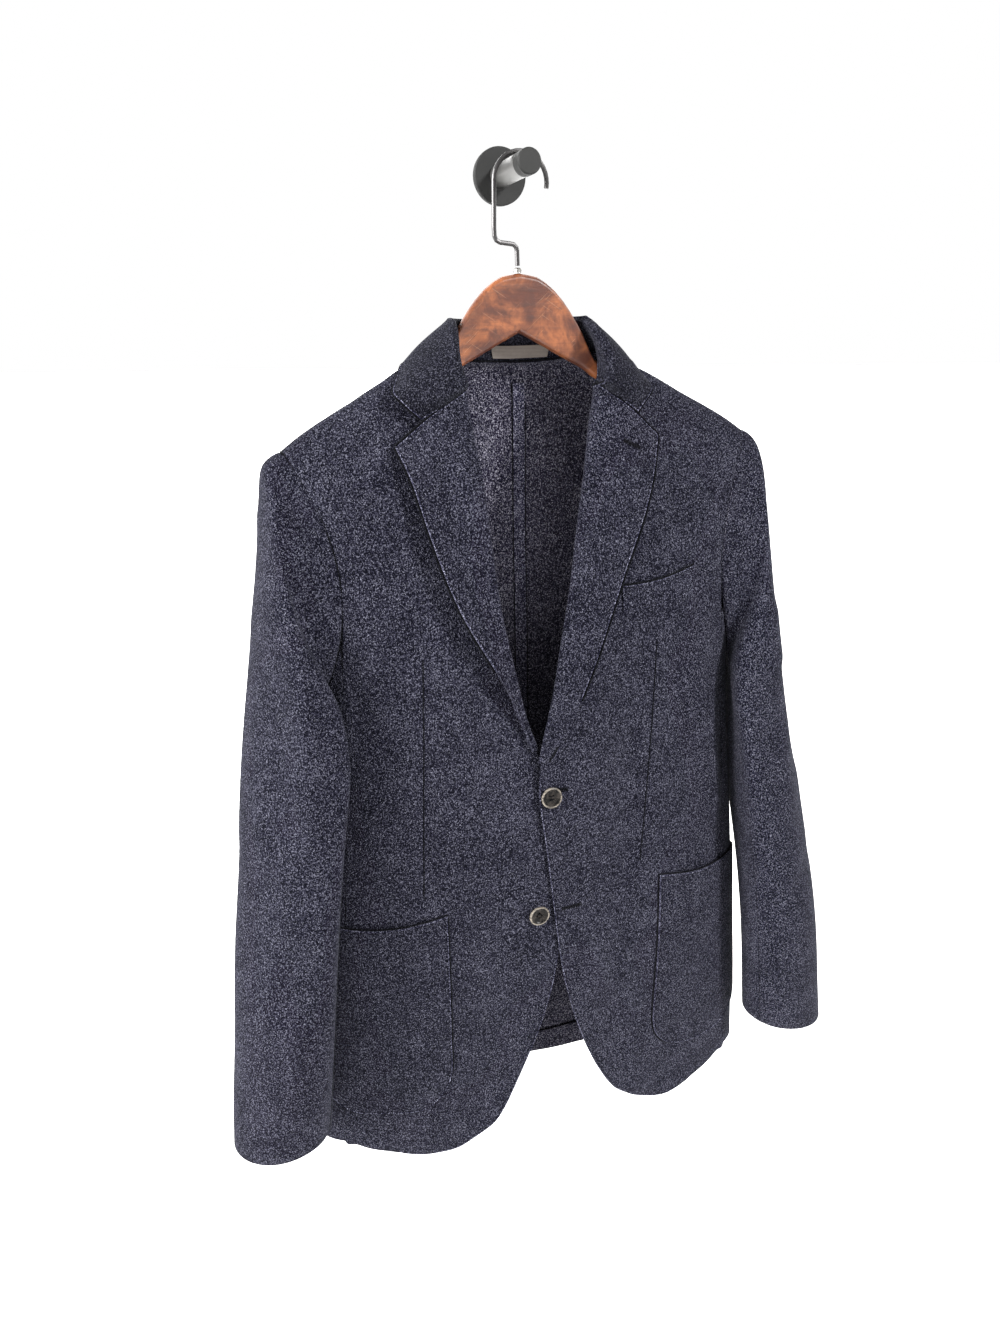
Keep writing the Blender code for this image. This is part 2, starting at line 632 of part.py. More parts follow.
def outside_torso(x, y, z):
    """The point, moved out to stand clear of the torso where it would touch it below the armhole."""
    y_side, half_width = float(TORSO.at("y_side", z)), float(TORSO.at("half_width", z))
    front = y < y_side
    power = FRONT_ROUND if front else BACK_ROUND
    reach = abs(float(TORSO.at("y_front" if front else "y_back", z)) - y_side)
    out = ((x / half_width) ** power + (abs(y - y_side) / reach) ** power) ** (1 / power)
    away = max(1.0, (1 + SLEEVE_CLEAR) / out)
    below = min(max((ARMHOLE_LOW_Z + 0.004 - z) / 0.012, 0), 1)
    away = 1 + (away - 1) * below
    return np.array([x * away, y_side + (y - y_side) * away, z])


def sleeve(name, side, start, stop, columns):
    """Part of a sleeve between two of its seams, in degrees round it."""
    gap = math.degrees(SEAM / 0.028)
    angles = np.linspace(start + gap, stop - gap, columns)
    rings = (0, 0.3, 0.65, 1, 1.5, 2, 2.6, 3.3, 4, 4.8, 5.6, 6.4, 7.2, 8)
    net = np.array([[sleeve_ring(ring, angle % 360) for angle in angles] for ring in rings])
    return cloth(name, mirrored(net, side))


# ---- What lies on the panels --------------------------------------------------------------------


def patch_pocket(name, side, over):
    """A flat pocket sewn on by its sides and rounded foot, its mouth standing open a little."""
    corner, low = POCKET["corner"], POCKET["low_z"]

    def at(x_share, z):
        outer = POCKET["outer_share"] * TORSO.at("half_width", z)
        return POCKET["inner_x"] + (outer - POCKET["inner_x"]) * x_share, z

    def bottom(u):
        near = np.clip(1 - u / 0.36, 0, 1)
        far = np.clip((u - 0.64) / 0.36, 0, 1)
        lift = corner * (1 - np.sqrt(1 - (near + far) ** 2 * 0.999))
        return at(u, low + lift)

    def top(u):
        sag = POCKET["sag"] * np.sin(math.pi * u)
        return at(u, POCKET["top_in_z"] + (POCKET["top_out_z"] - POCKET["top_in_z"]) * u - sag)

    def left(v):
        return at(0.0 * v, low + corner * 0.97 + (POCKET["top_in_z"] - low - corner * 0.97) * v)

    def right(v):
        return at(0.0 * v + 1, low + corner * 0.97 + (POCKET["top_out_z"] - low - corner * 0.97) * v)

    u = np.array([0, 0.03, 0.08, 0.16, 0.28, 0.42, 0.58, 0.72, 0.84, 0.92, 0.97, 1])
    v = np.array([0, 0.12, 0.28, 0.46, 0.64, 0.80, 0.92, 1])
    net = patch(bottom, top, left, right, u, v)
    x, z = net[..., 0], net[..., 1]
    mouth = np.clip(v - 0.5, 0, 1)[:, None] ** 2 * 4 * np.sin(math.pi * u)[None, :]
    lift = CLOTH + SEAM_GAP + 0.0002 + POCKET["gape"] * mouth + overlap_lift(x, z, over)
    return cloth(name, mirrored(on_body(x, z, True, lift), side))


def welt(name):
    """The breast pocket's welt, a band with a slightly hollow top edge."""
    u = np.linspace(0, 1, 6)[None, :]
    v = np.array([0, 0.5, 1])[:, None]
    x = WELT["inner_x"] + (WELT["outer_x"] - WELT["inner_x"]) * u + 0 * v
    z = WELT["inner_z"] + (WELT["outer_z"] - WELT["inner_z"]) * u - WELT["height"] * (1 - v)
    z = z - WELT["sag"] * np.sin(math.pi * u)
    lift = CLOTH + SEAM_GAP + 0.0002 + 0.0006 * v + overlap_lift(x, z, 1.0)
    return cloth(name, on_body(x, z, True, lift))


def inside_back(name, x, z, material, thickness):
    """A strip on the inner face of the back, which the open front shows."""
    lift = -(CLOTH / 2 + SEAM_GAP + thickness / 2 + 0.0003)
    return cloth(name, on_body(x, z, False, lift), material, thickness)


def seam_tape(name):
    z = np.linspace(BACK_HEM_Z + HEM_BAND + 0.002, -0.176, 12)[:, None]
    x = BACK_SEAM_X + np.array([0.0015, 0.0070, 0.0125])[None, :]
    return inside_back(name, x, z, "cloth", TAPE)


def hem_band(name):
    half = np.array(BACK_COLUMNS[1:-1])
    share = np.concatenate([-half[::-1], [0], half])
    drop = BACK_HEM_DROP * share**2
    z = BACK_HEM_Z - drop[None, :] + np.array([0.0004, 0.5 * HEM_BAND, HEM_BAND])[:, None]
    columns = len(half)
    right = -back_x(-1, half[::-1], z[:, :columns])
    left = back_x(1, half, z[:, columns + 1:])
    centre = np.full((3, 1), BACK_SEAM_X)
    x = np.concatenate([right, centre, left], axis=1)
    return inside_back(name, x, z, "cloth", 0.0012)


# ---- Buttons, hanger and hook -------------------------------------------------------------------


def turned(name, profile, material, steps=40):
    """A solid turned about Z from its profile: (radius, height) points down from the top of the axis."""
    mesh = bpy.data.meshes.new(name)
    mesh.from_pydata([(radius, 0, height) for radius, height in profile],
                     [(i, i + 1) for i in range(len(profile) - 1)], [])
    piece = add(name, mesh, material)
    screw = piece.modifiers.new("turn", "SCREW")
    screw.steps = screw.render_steps = steps
    screw.use_merge_vertices = True
    screw.merge_threshold = 1e-5
    screw.use_smooth_shade = True
    return piece


def button(name, panel_lift, tilt, spin):
    """A four-hole button with a raised rim, lying on the front."""
    x, z = BUTTON_PLACES[name]
    piece = turned(name, (
        (0, 0.0021), (0.0040, 0.0021), (0.0066, 0.0023), (0.0076, 0.0031), (0.0088, 0.0034), (0.0098, 0.0030),
        (BUTTON_RADIUS, 0.0020), (0.0090, 0.0008), (0.0070, 0), (0, 0)), "horn")
    cutter_mesh = bpy.data.meshes.new(name + "_holes")
    holes = bmesh.new()
    for quarter in range(4):
        turn = math.radians(45 + 90 * quarter)
        place = Matrix.Translation((0.0024 * math.cos(turn), 0.0024 * math.sin(turn), 0.0015))
        bmesh.ops.create_cone(holes, cap_ends=True, segments=12, radius1=0.0009, radius2=0.0009, depth=0.006,
                              matrix=place)
    holes.to_mesh(cutter_mesh)
    holes.free()
    cutter = bpy.data.objects.new(name + "_holes", cutter_mesh)
    bpy.data.collections["cutters"].objects.link(cutter)
    cutter.hide_render = True
    cutter.display_type = "WIRE"
    drill = piece.modifiers.new("thread holes", "BOOLEAN")
    drill.object = cutter
    drill.solver = "EXACT"
    lift = panel_lift + CLOTH / 2 + SEAM_GAP + 0.0009
    own = abs(x)
    base = hang(mirrored(on_body(own, z, True, lift), math.copysign(1, x)))
    turn = Euler((math.radians(90 + tilt[0]), math.radians(tilt[1]), 0), "XYZ").to_matrix().to_4x4()
    matrix = Matrix.Translation(base.tolist()) @ turn @ Matrix.Rotation(math.radians(spin), 4, "Z")
    piece.matrix_world = matrix
    cutter.matrix_world = matrix
    return piece


def hanger():
    """The wooden hanger: an outline with rounded edges, lofted along X through sections of its height."""
    stations = (0, 0.008, 0.016, 0.024, 0.032, 0.040, 0.046, 0.052, 0.058, 0.064, 0.070, 0.085, 0.11, 0.14,
                0.17, 0.190, 0.195)
    corner = ((-0.50, 0.0), (-0.48, 0.30), (-0.40, 0.62), (-0.24, 0.88), (0.0, 1.0))
    upper = corner + tuple((-across, up) for across, up in corner[-2::-1])
    signed = [-x for x in stations[:0:-1]] + list(stations)
    sections = []
    for x in signed:
        top, low, y = (float(HANGER.at(name, abs(x))) for name in HANGER.values)
        top, low = top + TILT * x, low + TILT * x
        section = [(x, y + across * HANGER_DEPTH, top - (1 - up) * HANGER_EDGE) for across, up in upper]
        section += [(x, y - across * HANGER_DEPTH, low + (1 - up) * HANGER_EDGE) for across, up in upper]
        sections.append(section)
    solid = bmesh.new()
    rings = [[solid.verts.new(point) for point in section] for section in sections]
    count = len(rings[0])
    for ring, after in zip(rings, rings[1:]):
        for i in range(count):
            solid.faces.new((ring[i], ring[(i + 1) % count], after[(i + 1) % count], after[i]))
    solid.faces.new(rings[0])
    solid.faces.new(rings[-1])
    bmesh.ops.recalc_face_normals(solid, faces=solid.faces[:])
    mesh = bpy.data.meshes.new("hanger_wood")
    solid.to_mesh(mesh)
    solid.free()
    return add("hanger_wood", mesh, "wood")


def hook():
    """The hanger's wire: stem, jog to the left, and the hook over the peg."""
    path = [(-0.0010, -0.0776), (-0.0015, -0.0655), (-0.0022, -0.0628), (-0.0045, -0.0607),
            (-0.0080, -0.0602), (-0.0170, -0.0594), (-0.0203, -0.0577), (-0.0218, -0.0545),
            (-0.0222, -0.0480), (-0.0221, -0.0300)]
    for degrees in range(180, -11, -10):
        turn = math.radians(degrees)
        across, up = math.cos(turn), math.sin(turn)
        path.append((HOOK_CENTRE[0] + HOOK_RADIUS * across, HOOK_CENTRE[1] + HOOK_RADIUS * up))
    curve = bpy.data.curves.new("hanger_hook", "CURVE")
    curve.dimensions = "3D"
    curve.bevel_depth = WIRE_RADIUS
    curve.bevel_resolution = 3
    curve.use_fill_caps = True
    line = curve.splines.new("POLY")
    line.points.add(len(path) - 1)
    for point, (x, z) in zip(line.points, path):
        point.co = (x, HANGER_Y, z, 1)
    return add("hanger_hook", curve, "wire")


def wall_hook():
    """The wall plate, the peg and its end cap, all turned about Y."""
    face = Matrix.Rotation(math.radians(90), 4, "X")
    r, d = PLATE_RADIUS, PLATE_DEPTH
    plate = turned("wall_plate", ((0, d), (r - 0.0008, d), (r, d - 0.0008), (r, 0), (0, 0)), "gunmetal", 64)
    r, long = PEG_RADIUS, -PEG_CAP_FROM_Y - 2 * SEAM_GAP - d
    peg = turned("peg", ((0, long), (r - 0.0006, long), (r, long - 0.0006), (r, 0), (0, 0)), "gunmetal", 48)
    r, long = PEG_CAP_RADIUS, PEG_CAP_FROM_Y - PEG_END_Y
    cap = turned("peg_cap", (
        (0, long), (r - 0.0012, long), (r, long - 0.0012), (r, 0.0006), (r - 0.0006, 0), (0, 0)),
        "gunmetal", 48)
    ferrule = turned("hanger_ferrule", (
        (0, 0.0040), (0.0026, 0.0040), (0.0036, 0.0028), (0.0036, 0), (0, 0)), "nickel", 32)
    plate.matrix_world = face
    peg.matrix_world = Matrix.Translation((0, -d - SEAM_GAP, 0)) @ face
    cap.matrix_world = Matrix.Translation((0, PEG_CAP_FROM_Y, 0)) @ face
    ferrule.matrix_world = Matrix.Translation((-0.0010, HANGER_Y, -0.0832))


def main():
    clear_scene()
    for name in ("blazer_on_hanger", "cutters"):
        home = bpy.data.collections.new(name)
        bpy.context.scene.collection.children.link(home)
        home.hide_render = name == "cutters"
    for name in COLOURS:
        make_material(name)
    # The wearer's left, at the viewer's right, lies on top.
    for end, side, over in (("left", 1, 1.0), ("right", -1, 0.0)):
        front_panel("front_" + end, side, over)
        back_panel("back_" + end, side)
        side_panel("side_" + end, side)
        lapel("lapel_" + end, side, over)
        sleeve("sleeve_top_" + end, side, SLEEVE_SEAMS[1] - 360, SLEEVE_SEAMS[0], 16)
        sleeve("sleeve_under_" + end, side, *SLEEVE_SEAMS, 10)
        patch_pocket("pocket_" + end, side, over)
    collar("collar")
    neck_tape("neck_tape")
    welt("breast_welt")
    seam_tape("back_seam_tape")
    hem_band("back_hem_band")
    button("button_top", 0.0060, (-4, 6), 10)
    button("button_low", 0.0, (3, -3), 40)
    hanger()
    hook()
    wall_hook()


main()
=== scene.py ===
# %% [markdown]
# # A single breasted blazer on its hanger
# An unlined wool jacket hangs from a wooden hanger on a round wall peg. The frame holds every
# piece as a solid of the right size, so this script only has to turn the stiff walls of cloth
# into cloth: round edges, soft drags, seams, stitches, and a yarn of several dark blues.

# %% Load the frame
import math

import bmesh
import bpy
import numpy as np
from mathutils import Matrix, Vector
from mathutils.kdtree import KDTree


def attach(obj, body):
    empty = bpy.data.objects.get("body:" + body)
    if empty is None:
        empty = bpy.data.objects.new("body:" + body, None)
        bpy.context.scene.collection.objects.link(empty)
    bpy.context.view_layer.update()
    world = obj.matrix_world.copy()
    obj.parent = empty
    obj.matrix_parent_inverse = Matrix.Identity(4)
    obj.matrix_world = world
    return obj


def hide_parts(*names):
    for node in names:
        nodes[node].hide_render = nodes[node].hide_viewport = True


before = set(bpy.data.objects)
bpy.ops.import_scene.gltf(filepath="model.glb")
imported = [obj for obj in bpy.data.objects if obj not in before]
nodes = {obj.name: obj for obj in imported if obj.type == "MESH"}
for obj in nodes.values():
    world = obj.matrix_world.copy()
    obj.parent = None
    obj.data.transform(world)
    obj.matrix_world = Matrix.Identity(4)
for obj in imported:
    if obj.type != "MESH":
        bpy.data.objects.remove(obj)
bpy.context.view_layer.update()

# %% [markdown]
# ## The camera
# The jacket is seen from the wearer's right side at the height of the shoulders, from less than
# a metre away, so the near sleeve looks longer than the far one. The lens is wide enough to
# take in all of it. The camera comes first, because every later choice is judged through it.

# %% Camera
CAMERA_AT = Vector((-0.3113, -0.9085, -0.1550))
CAMERA_YAW = math.radians(18.843)
CAMERA_PITCH = math.radians(-17.372)
CAMERA_ROLL = math.radians(-0.322)

lens = bpy.data.cameras.new("camera")
lens.sensor_width = 36
lens.lens = 26.466
lens.clip_start = 0.01
camera = bpy.data.objects.new("camera", lens)
bpy.context.scene.collection.objects.link(camera)
camera.matrix_world = (
    Matrix.Translation(CAMERA_AT)
    @ Matrix.Rotation(-CAMERA_YAW, 4, "Z")
    @ Matrix.Rotation(math.radians(90) + CAMERA_PITCH, 4, "X")
    @ Matrix.Rotation(CAMERA_ROLL, 4, "Z")
)
bpy.context.scene.camera = camera
print("camera at", tuple(round(c, 3) for c in camera.location))

# %% [markdown]
# ## Writing shader maths as Python
# A material is a web of nodes, and a sum of two patterns would take five lines of linking.
# `Wire` stands for the output of one node instead. Adding or multiplying wires adds the Math
# node that does it, and `between` turns a slow change into a soft step.

# %% Wires
class Wire:
    """One output of a node in a finish."""

    def __init__(self, finish, socket):
        self.finish = finish
        self.socket = socket

    def maths(self, operation, *values):
        inputs = dict(enumerate(values))
        return self.finish.node("ShaderNodeMath", {"operation": operation}, inputs)

    def __add__(self, other):
        return self.maths("ADD", self, other)

    __radd__ = __add__

    def __sub__(self, other):
        return self.maths("SUBTRACT", self, other)

    def __rsub__(self, other):
        return self.maths("SUBTRACT", other, self)

    def __mul__(self, other):
        return self.maths("MULTIPLY", self, other)

    __rmul__ = __mul__

    def between(self, low, high):
        """0 below low, 1 above high, smooth in between."""
        settings = {"interpolation_type": "SMOOTHSTEP"}
        inputs = {"Value": self, "From Min": low, "From Max": high}
        return self.finish.node("ShaderNodeMapRange", settings, inputs)

# %% [markdown]
# ## A finish
# `Finish` holds a material and its Principled shader. `node` makes any node from its type, its
# settings and what goes into its sockets. The other methods are the few nodes that every finish
# here needs: noise, cells, a mix of two colours, and bump. Patterns read Object coordinates,
# which are in metres, so a yarn is the same size on every piece.

# %% Finishes
class Finish:
    """A material and its Principled shader."""

    def __init__(self, name, **constants):
        self.material = bpy.data.materials.new(name)
        self.material.use_nodes = True
        self.tree = self.material.node_tree
        self.shader = self.tree.nodes["Principled BSDF"]
        for socket, value in constants.items():
            self.shader.inputs[socket.replace("_", " ")].default_value = value
        self.place = self.node("ShaderNodeTexCoord", output="Object")

    def node(self, kind, settings=None, inputs=None, output=0):
        made = self.tree.nodes.new(kind)
        for name, value in (settings or {}).items():
            setattr(made, name, value)
        for name, value in (inputs or {}).items():
            if isinstance(value, Wire):
                self.tree.links.new(value.socket, made.inputs[name])
            else:
                made.inputs[name].default_value = value
        return Wire(self, made.outputs[output])

    def stretched(self, *scale):
        """Object coordinates, drawn out along some axes."""
        return self.node("ShaderNodeMapping", {}, {"Vector": self.place, "Scale": scale})

    def noise(self, scale, detail=2.0, rough=0.5, at=None, warp=0.0):
        inputs = {"Vector": at or self.place, "Scale": scale, "Detail": detail}
        inputs.update({"Roughness": rough, "Distortion": warp})
        return self.node("ShaderNodeTexNoise", {}, inputs, "Fac")

    def cells(self, scale, at=None, output="Distance"):
        inputs = {"Vector": at or self.place, "Scale": scale}
        return self.node("ShaderNodeTexVoronoi", {}, inputs, output)

    def mix(self, factor, one, other, kind="MIX"):
        settings = {"data_type": "RGBA", "blend_type": kind}
        made = self.tree.nodes.new("ShaderNodeMix")
        for name, value in settings.items():
            setattr(made, name, value)
        for socket, value in ((0, factor), (6, one), (7, other)):
            if isinstance(value, Wire):
                self.tree.links.new(value.socket, made.inputs[socket])
            elif isinstance(value, tuple):
                made.inputs[socket].default_value = (*value, 1)
            else:
                made.inputs[socket].default_value = value
        return Wire(self, made.outputs[2])

    def bump(self, height, depth, under=None):
        inputs = {"Height": height, "Distance": depth}
        if under:
            inputs["Normal"] = under
        return self.node("ShaderNodeBump", {}, inputs)

    def give(self, **wires):
        for socket, wire in wires.items():
            self.tree.links.new(wire.socket, self.shader.inputs[socket.replace("_", " ")])
        print("finish", self.material.name, "with", len(self.tree.nodes), "nodes")
        return self.material

# %% [markdown]
# ## The cloth's finish
# The wool is spun from dark navy, slate and pale grey fibres, so close up it is salt and pepper
# and further off a soft blue grey. A fine noise drawn out down the cloth gives the yarn, a
# coarser one its clumps, and small cells the single pale fibres. Sheen on the shader stands for
# the nap, which catches light at grazing angles. The same cloth is a little browner inside, and
# lightened there as painted light, since little light reaches the inside. It is lightened as a
# painted highlight where an edge is rolled, darkened as painted shade on the collar, and nearly
# black where it lies in a seam or stands for the painted shadow under an edge.

# %% Wool
NAVY = (0.0006, 0.0006, 0.0022)
SLATE = (0.0105, 0.0101, 0.0182)
PALE = (0.2180, 0.2200, 0.2680)
YARN, CLUMPS, FIBRES, STRANDS, DRIFT = 1250, 760, 900, 640, 38  # how many to a metre, about
NAP = (0.75, 0.78, 0.9, 1)


def wool(name, tint=(1.0, 1.0, 1.0), light=1.0):
    """The melange wool; tint and light turn it for one part of the jacket."""
    finish = Finish(name, Roughness=0.95)
    finish.shader.inputs["Specular IOR Level"].default_value = 0.04
    finish.shader.inputs["Sheen Weight"].default_value = 0.025
    finish.shader.inputs["Sheen Roughness"].default_value = 0.5
    finish.shader.inputs["Sheen Tint"].default_value = NAP
    yarn = finish.noise(YARN, 1.0, 0.6, finish.stretched(0.8, 1.0, 1.0))
    clumps = finish.noise(CLUMPS, 1.0, 0.5, finish.stretched(1.0, 1.0, 0.8))
    drift = finish.noise(DRIFT, 3.0, 0.6)
    tone = yarn * 0.50 + clumps * 0.46 + drift * 0.10 - 0.03
    fibres = finish.cells(FIBRES, finish.stretched(1.0, 1.0, 0.6))
    strands = finish.noise(STRANDS, 1.0, 0.5)
    pale = (1 - fibres.between(0.10, 0.40)) * strands.between(0.45, 0.60)
    dark = finish.mix(tone.between(0.45, 0.56), NAVY, SLATE)
    mixed = finish.mix(tone.between(0.53, 0.66) * 0.26 + pale * 0.40, dark, PALE)
    tinted = finish.mix(1.0, mixed, tuple(light * t for t in tint), "MULTIPLY")
    pile = finish.bump(yarn * 0.6 + fibres * 0.4, 0.0006)
    folds = finish.bump(clumps, 0.0008, pile)
    return finish.give(Base_Color=tinted, Normal=folds)


WOOL = wool("wool")
# Inside, the cloth is a little browner, and lightened nearly twofold as painted light, because
# little light reaches the inside of the back.
WOOL_INSIDE_PAINTED_LIGHT = wool("wool_inside", (1.02, 0.98, 0.90), 1.9)
# Rolled edges and the rims of laid-on pieces are lightened as a painted highlight, for the light
# their fibres catch.
WOOL_EDGE_PAINTED_HIGHLIGHT = wool("wool_edge", light=2.3)
# The collar's outer side is darkened as painted shade, since it faces the upper light more than
# the chest does.
WOOL_COLLAR_PAINTED_SHADE = wool("wool_collar", light=0.60)
# Dark thread for seams and stitches; the same finish also makes the cords of painted shadow under
# the edges of lapels, collar, pockets and welt.
THREAD_AND_PAINTED_SHADOW = wool("thread", light=0.12)

# %% [markdown]
# ## Selecting and applying
# An operator acts on all that is selected, and the frame's solids are selected after loading.
# So each step selects only what it works on. A modifier is applied as soon as it is set,
# because the next step moves the points that it made.

# %% Selecting and applying
def deselect():
    if bpy.context.mode != "OBJECT":
        bpy.ops.object.mode_set(mode="OBJECT")
    bpy.ops.object.select_all(action="DESELECT")


def make_active(thing):
    deselect()
    thing.select_set(True)
    bpy.context.view_layer.objects.active = thing
    return thing


def apply_modifiers(thing):
    make_active(thing)
    for modifier in list(thing.modifiers):
        bpy.ops.object.modifier_apply(modifier=modifier.name)
    return thing

# %% [markdown]
# ## Finding the outer skin
# Each cloth solid is a thin, stiff wall with an outer skin, an inner skin and a rim. Cloth
# could be modelled over it from a flat sheet, but the wall already has the jacket's cut. So its
# faces are split into groups at the sharp edges of the rim, the widest group that faces
# outwards is kept, and its triangles are joined in pairs, because four-sided faces round off
# more evenly.

# %% Outer skin
RIM_TURN = math.radians(62)  # an edge sharper than this is the edge of a skin


def skins_of(solid):
    """The faces of a wall in groups that no sharp edge crosses, widest first."""
    left = set(solid.faces)
    groups = []
    while left:
        group, front = set(), [left.pop()]
        while front:
            face = front.pop()
            group.add(face)
            for edge in face.edges:
                if len(edge.link_faces) == 2 and edge.calc_face_angle() < RIM_TURN:
                    for other in edge.link_faces:
                        if other in left:
                            left.remove(other)
                            front.append(other)
        groups.append(group)
    return sorted(groups, key=lambda group: -sum(face.calc_area() for face in group))


def outer_skin(node, outward):
    """A new mesh of the skin whose faces point away, by outward(centre)."""
    solid = bmesh.new()
    solid.from_mesh(nodes[node].data)
    bmesh.ops.remove_doubles(solid, verts=solid.verts[:], dist=1e-5)
    two = skins_of(solid)[:2]

    def facing(group):
        return sum(f.calc_area() * f.normal.dot(outward(f.calc_center_median())) for f in group)

    keep = max(two, key=facing) if outward else two[0]
    bmesh.ops.delete(solid, geom=[f for f in solid.faces if f not in keep], context="FACES")
    bmesh.ops.join_triangles(
        solid,
        faces=solid.faces[:],
        angle_face_threshold=math.pi,
        angle_shape_threshold=math.pi,
    )
    mesh = bpy.data.meshes.new(node)
    solid.to_mesh(mesh)
    solid.free()
    return mesh

# %% [markdown]
# ## Rounding the skin
# A Subdivision Surface rounds the skin, but also pulls it in. So the cage is first moved out
# until the smooth surface passes through the solid's own points. A cloth corner stays a corner,
# except on the fronts, whose hem turns up into the front edge in one round curve.

# %% Smooth skin
def points_of(mesh):
    flat = np.empty(len(mesh.vertices) * 3, np.float32)
    mesh.vertices.foreach_get("co", flat)
    return flat.reshape(-1, 3).astype(float)


def normals_of(mesh):
    flat = np.empty(len(mesh.vertices) * 3, np.float32)
    mesh.vertex_normals.foreach_get("vector", flat)
    return flat.reshape(-1, 3).astype(float)


def put_points(mesh, points):
    mesh.vertices.foreach_set("co", points.astype(np.float32).ravel())
    mesh.update()


def through_its_points(piece):
    """Moves the cage until its smooth surface passes through where the points were."""
    aim = points_of(piece.data)
    for _ in range(4):
        shown = piece.evaluated_get(bpy.context.evaluated_depsgraph_get())
        reached = points_of(shown.to_mesh())[: len(aim)]
        shown.to_mesh_clear()
        put_points(piece.data, points_of(piece.data) + (aim - reached))
    return piece


def smooth_skin(name, node, outward, levels):
    """A new piece with the fine, smooth outer skin of a solid."""
    piece = bpy.data.objects.new(name, outer_skin(node, outward))
    bpy.context.scene.collection.objects.link(piece)
    rounding = piece.modifiers.new("rounding", "SUBSURF")
    rounding.levels = rounding.render_levels = levels
    rounding.boundary_smooth = "ALL" if name.startswith("front") else "PRESERVE_CORNERS"
    through_its_points(piece)
    return apply_modifiers(piece)

# %% [markdown]
# ## The border of a skin
# Seams, stitches and rolled edges all follow the border of a skin, so one function walks round
# it and gives, at each step, the place, the way along, the way inwards and the normal. Another
# tells how far every point is from a chosen part of the border, so that a change can fade out
# there.

# %% Borders
def border_of(piece):
    """The skin's border in order: rings of (place, way along, way inwards, normal)."""
    skin = bmesh.new()
    skin.from_mesh(piece.data)
    left = {edge for edge in skin.edges if edge.is_boundary}
    rings = []
    while left:
        corner = first = next(iter(left)).link_loops[0]
        ring = []
        while not ring or corner is not first:
            left.discard(corner.edge)
            along = corner.link_loop_next.vert.co - corner.vert.co
            normal = corner.vert.normal.copy()
            ring.append((corner.vert.co.copy(), along, normal.cross(along).normalized(), normal))
            corner = corner.link_loop_next
            while not corner.edge.is_boundary:
                corner = corner.link_loop_radial_next.link_loop_next
        rings.append(ring)
    skin.free()
    return rings


def ramp(values, low, high):
    """0 below low, 1 above high, smooth in between."""
    share = np.clip((values - low) / (high - low), 0, 1)
    return share * share * (3 - 2 * share)


def border_gap(piece, keep):
    """How far each point is from the part of the border where keep(place, inwards) is true."""
    border = [step for ring in border_of(piece) for step in ring]
    kept = [place for place, _, inwards, _ in border if keep(place, inwards)]
    if not kept:
        return np.full(len(piece.data.vertices), 1.0)
    tree = KDTree(len(kept))
    for i, place in enumerate(kept):
        tree.insert(place, i)
    tree.balance()
    return np.array([tree.find(vertex.co)[2] for vertex in piece.data.vertices])

# %% [markdown]
# ## Closing the seams
# Two smooth skins don't meet as exactly as two stiff walls. Each border is moved outwards by
# half a millimetre, which closes it on its neighbour, and the head of a sleeve is tucked in a
# little further, under the shoulder.

# %% Let out
LET_OUT = 0.0006


def in_armhole(place):
    """1 on the edge of a sleeve that is sewn into the armhole."""
    return 1.0 if place.z > -0.440 and abs(place.x) < 0.2225 else 0.0


def let_out(piece, reach):
    """Moves a skin's border outwards, so that it closes on its neighbour across the seam."""
    skin = bmesh.new()
    skin.from_mesh(piece.data)
    moves = {}
    for edge in skin.edges:
        if edge.is_boundary:
            face = edge.link_faces[0]
            one, other = edge.verts
            across = (other.co - one.co).cross(face.normal).normalized()
            if across.dot(face.calc_center_median() - one.co) > 0:
                across.negate()
            for vertex in edge.verts:
                moves.setdefault(vertex, []).append(across)
    for vertex, ways in moves.items():
        way = sum(ways, Vector()).normalized()
        tuck = in_armhole(vertex.co) if "sleeve" in piece.name else 0.0
        vertex.co += way * (reach + 0.0012 * tuck) - vertex.normal * 0.0009 * tuck
    skin.to_mesh(piece.data)
    skin.free()
    return piece

# %% [markdown]
# ## Thickness
# The dressed skin becomes a wall again. Solidify thickens it inwards, and a narrow bevel takes
# the sharpness from its rim. The wall has three finishes: the right side, the wrong side and
# the rim. On lapels, collar, pockets and welt the rim and its bevel are the lightened edge wool,
# a painted highlight. Lapels and collar are two layers thick.

# %% Thickness
WALL = {"wool": 0.0016, "double": 0.0024}


def give_wall(piece, thickness, rim=0.0005):
    """Thickens the skin inwards and rounds its rim."""
    wall = piece.modifiers.new("wall", "SOLIDIFY")
    wall.thickness = thickness
    wall.offset = -1
    wall.material_offset = 1
    wall.material_offset_rim = 2
    if rim:
        edge = piece.modifiers.new("rim", "BEVEL")
        edge.width = rim
        edge.segments = 2
        edge.limit_method = "ANGLE"
        edge.angle_limit = math.radians(50)
        edge.material = 2 if rim > 0.0006 else -1
    apply_modifiers(piece)
    piece.data.shade_smooth()
    return piece

# %% [markdown]
# ## Drags and dimples
# Hanging wool falls in shallow, uneven drags. A cloth simulation would give soft folds of its
# own choice, and these have to be where the shoulders and the button pull them, so each is one
# stroke from a place to a place on the front or the back of the jacket, with a width, and a
# height that is negative for a trough.

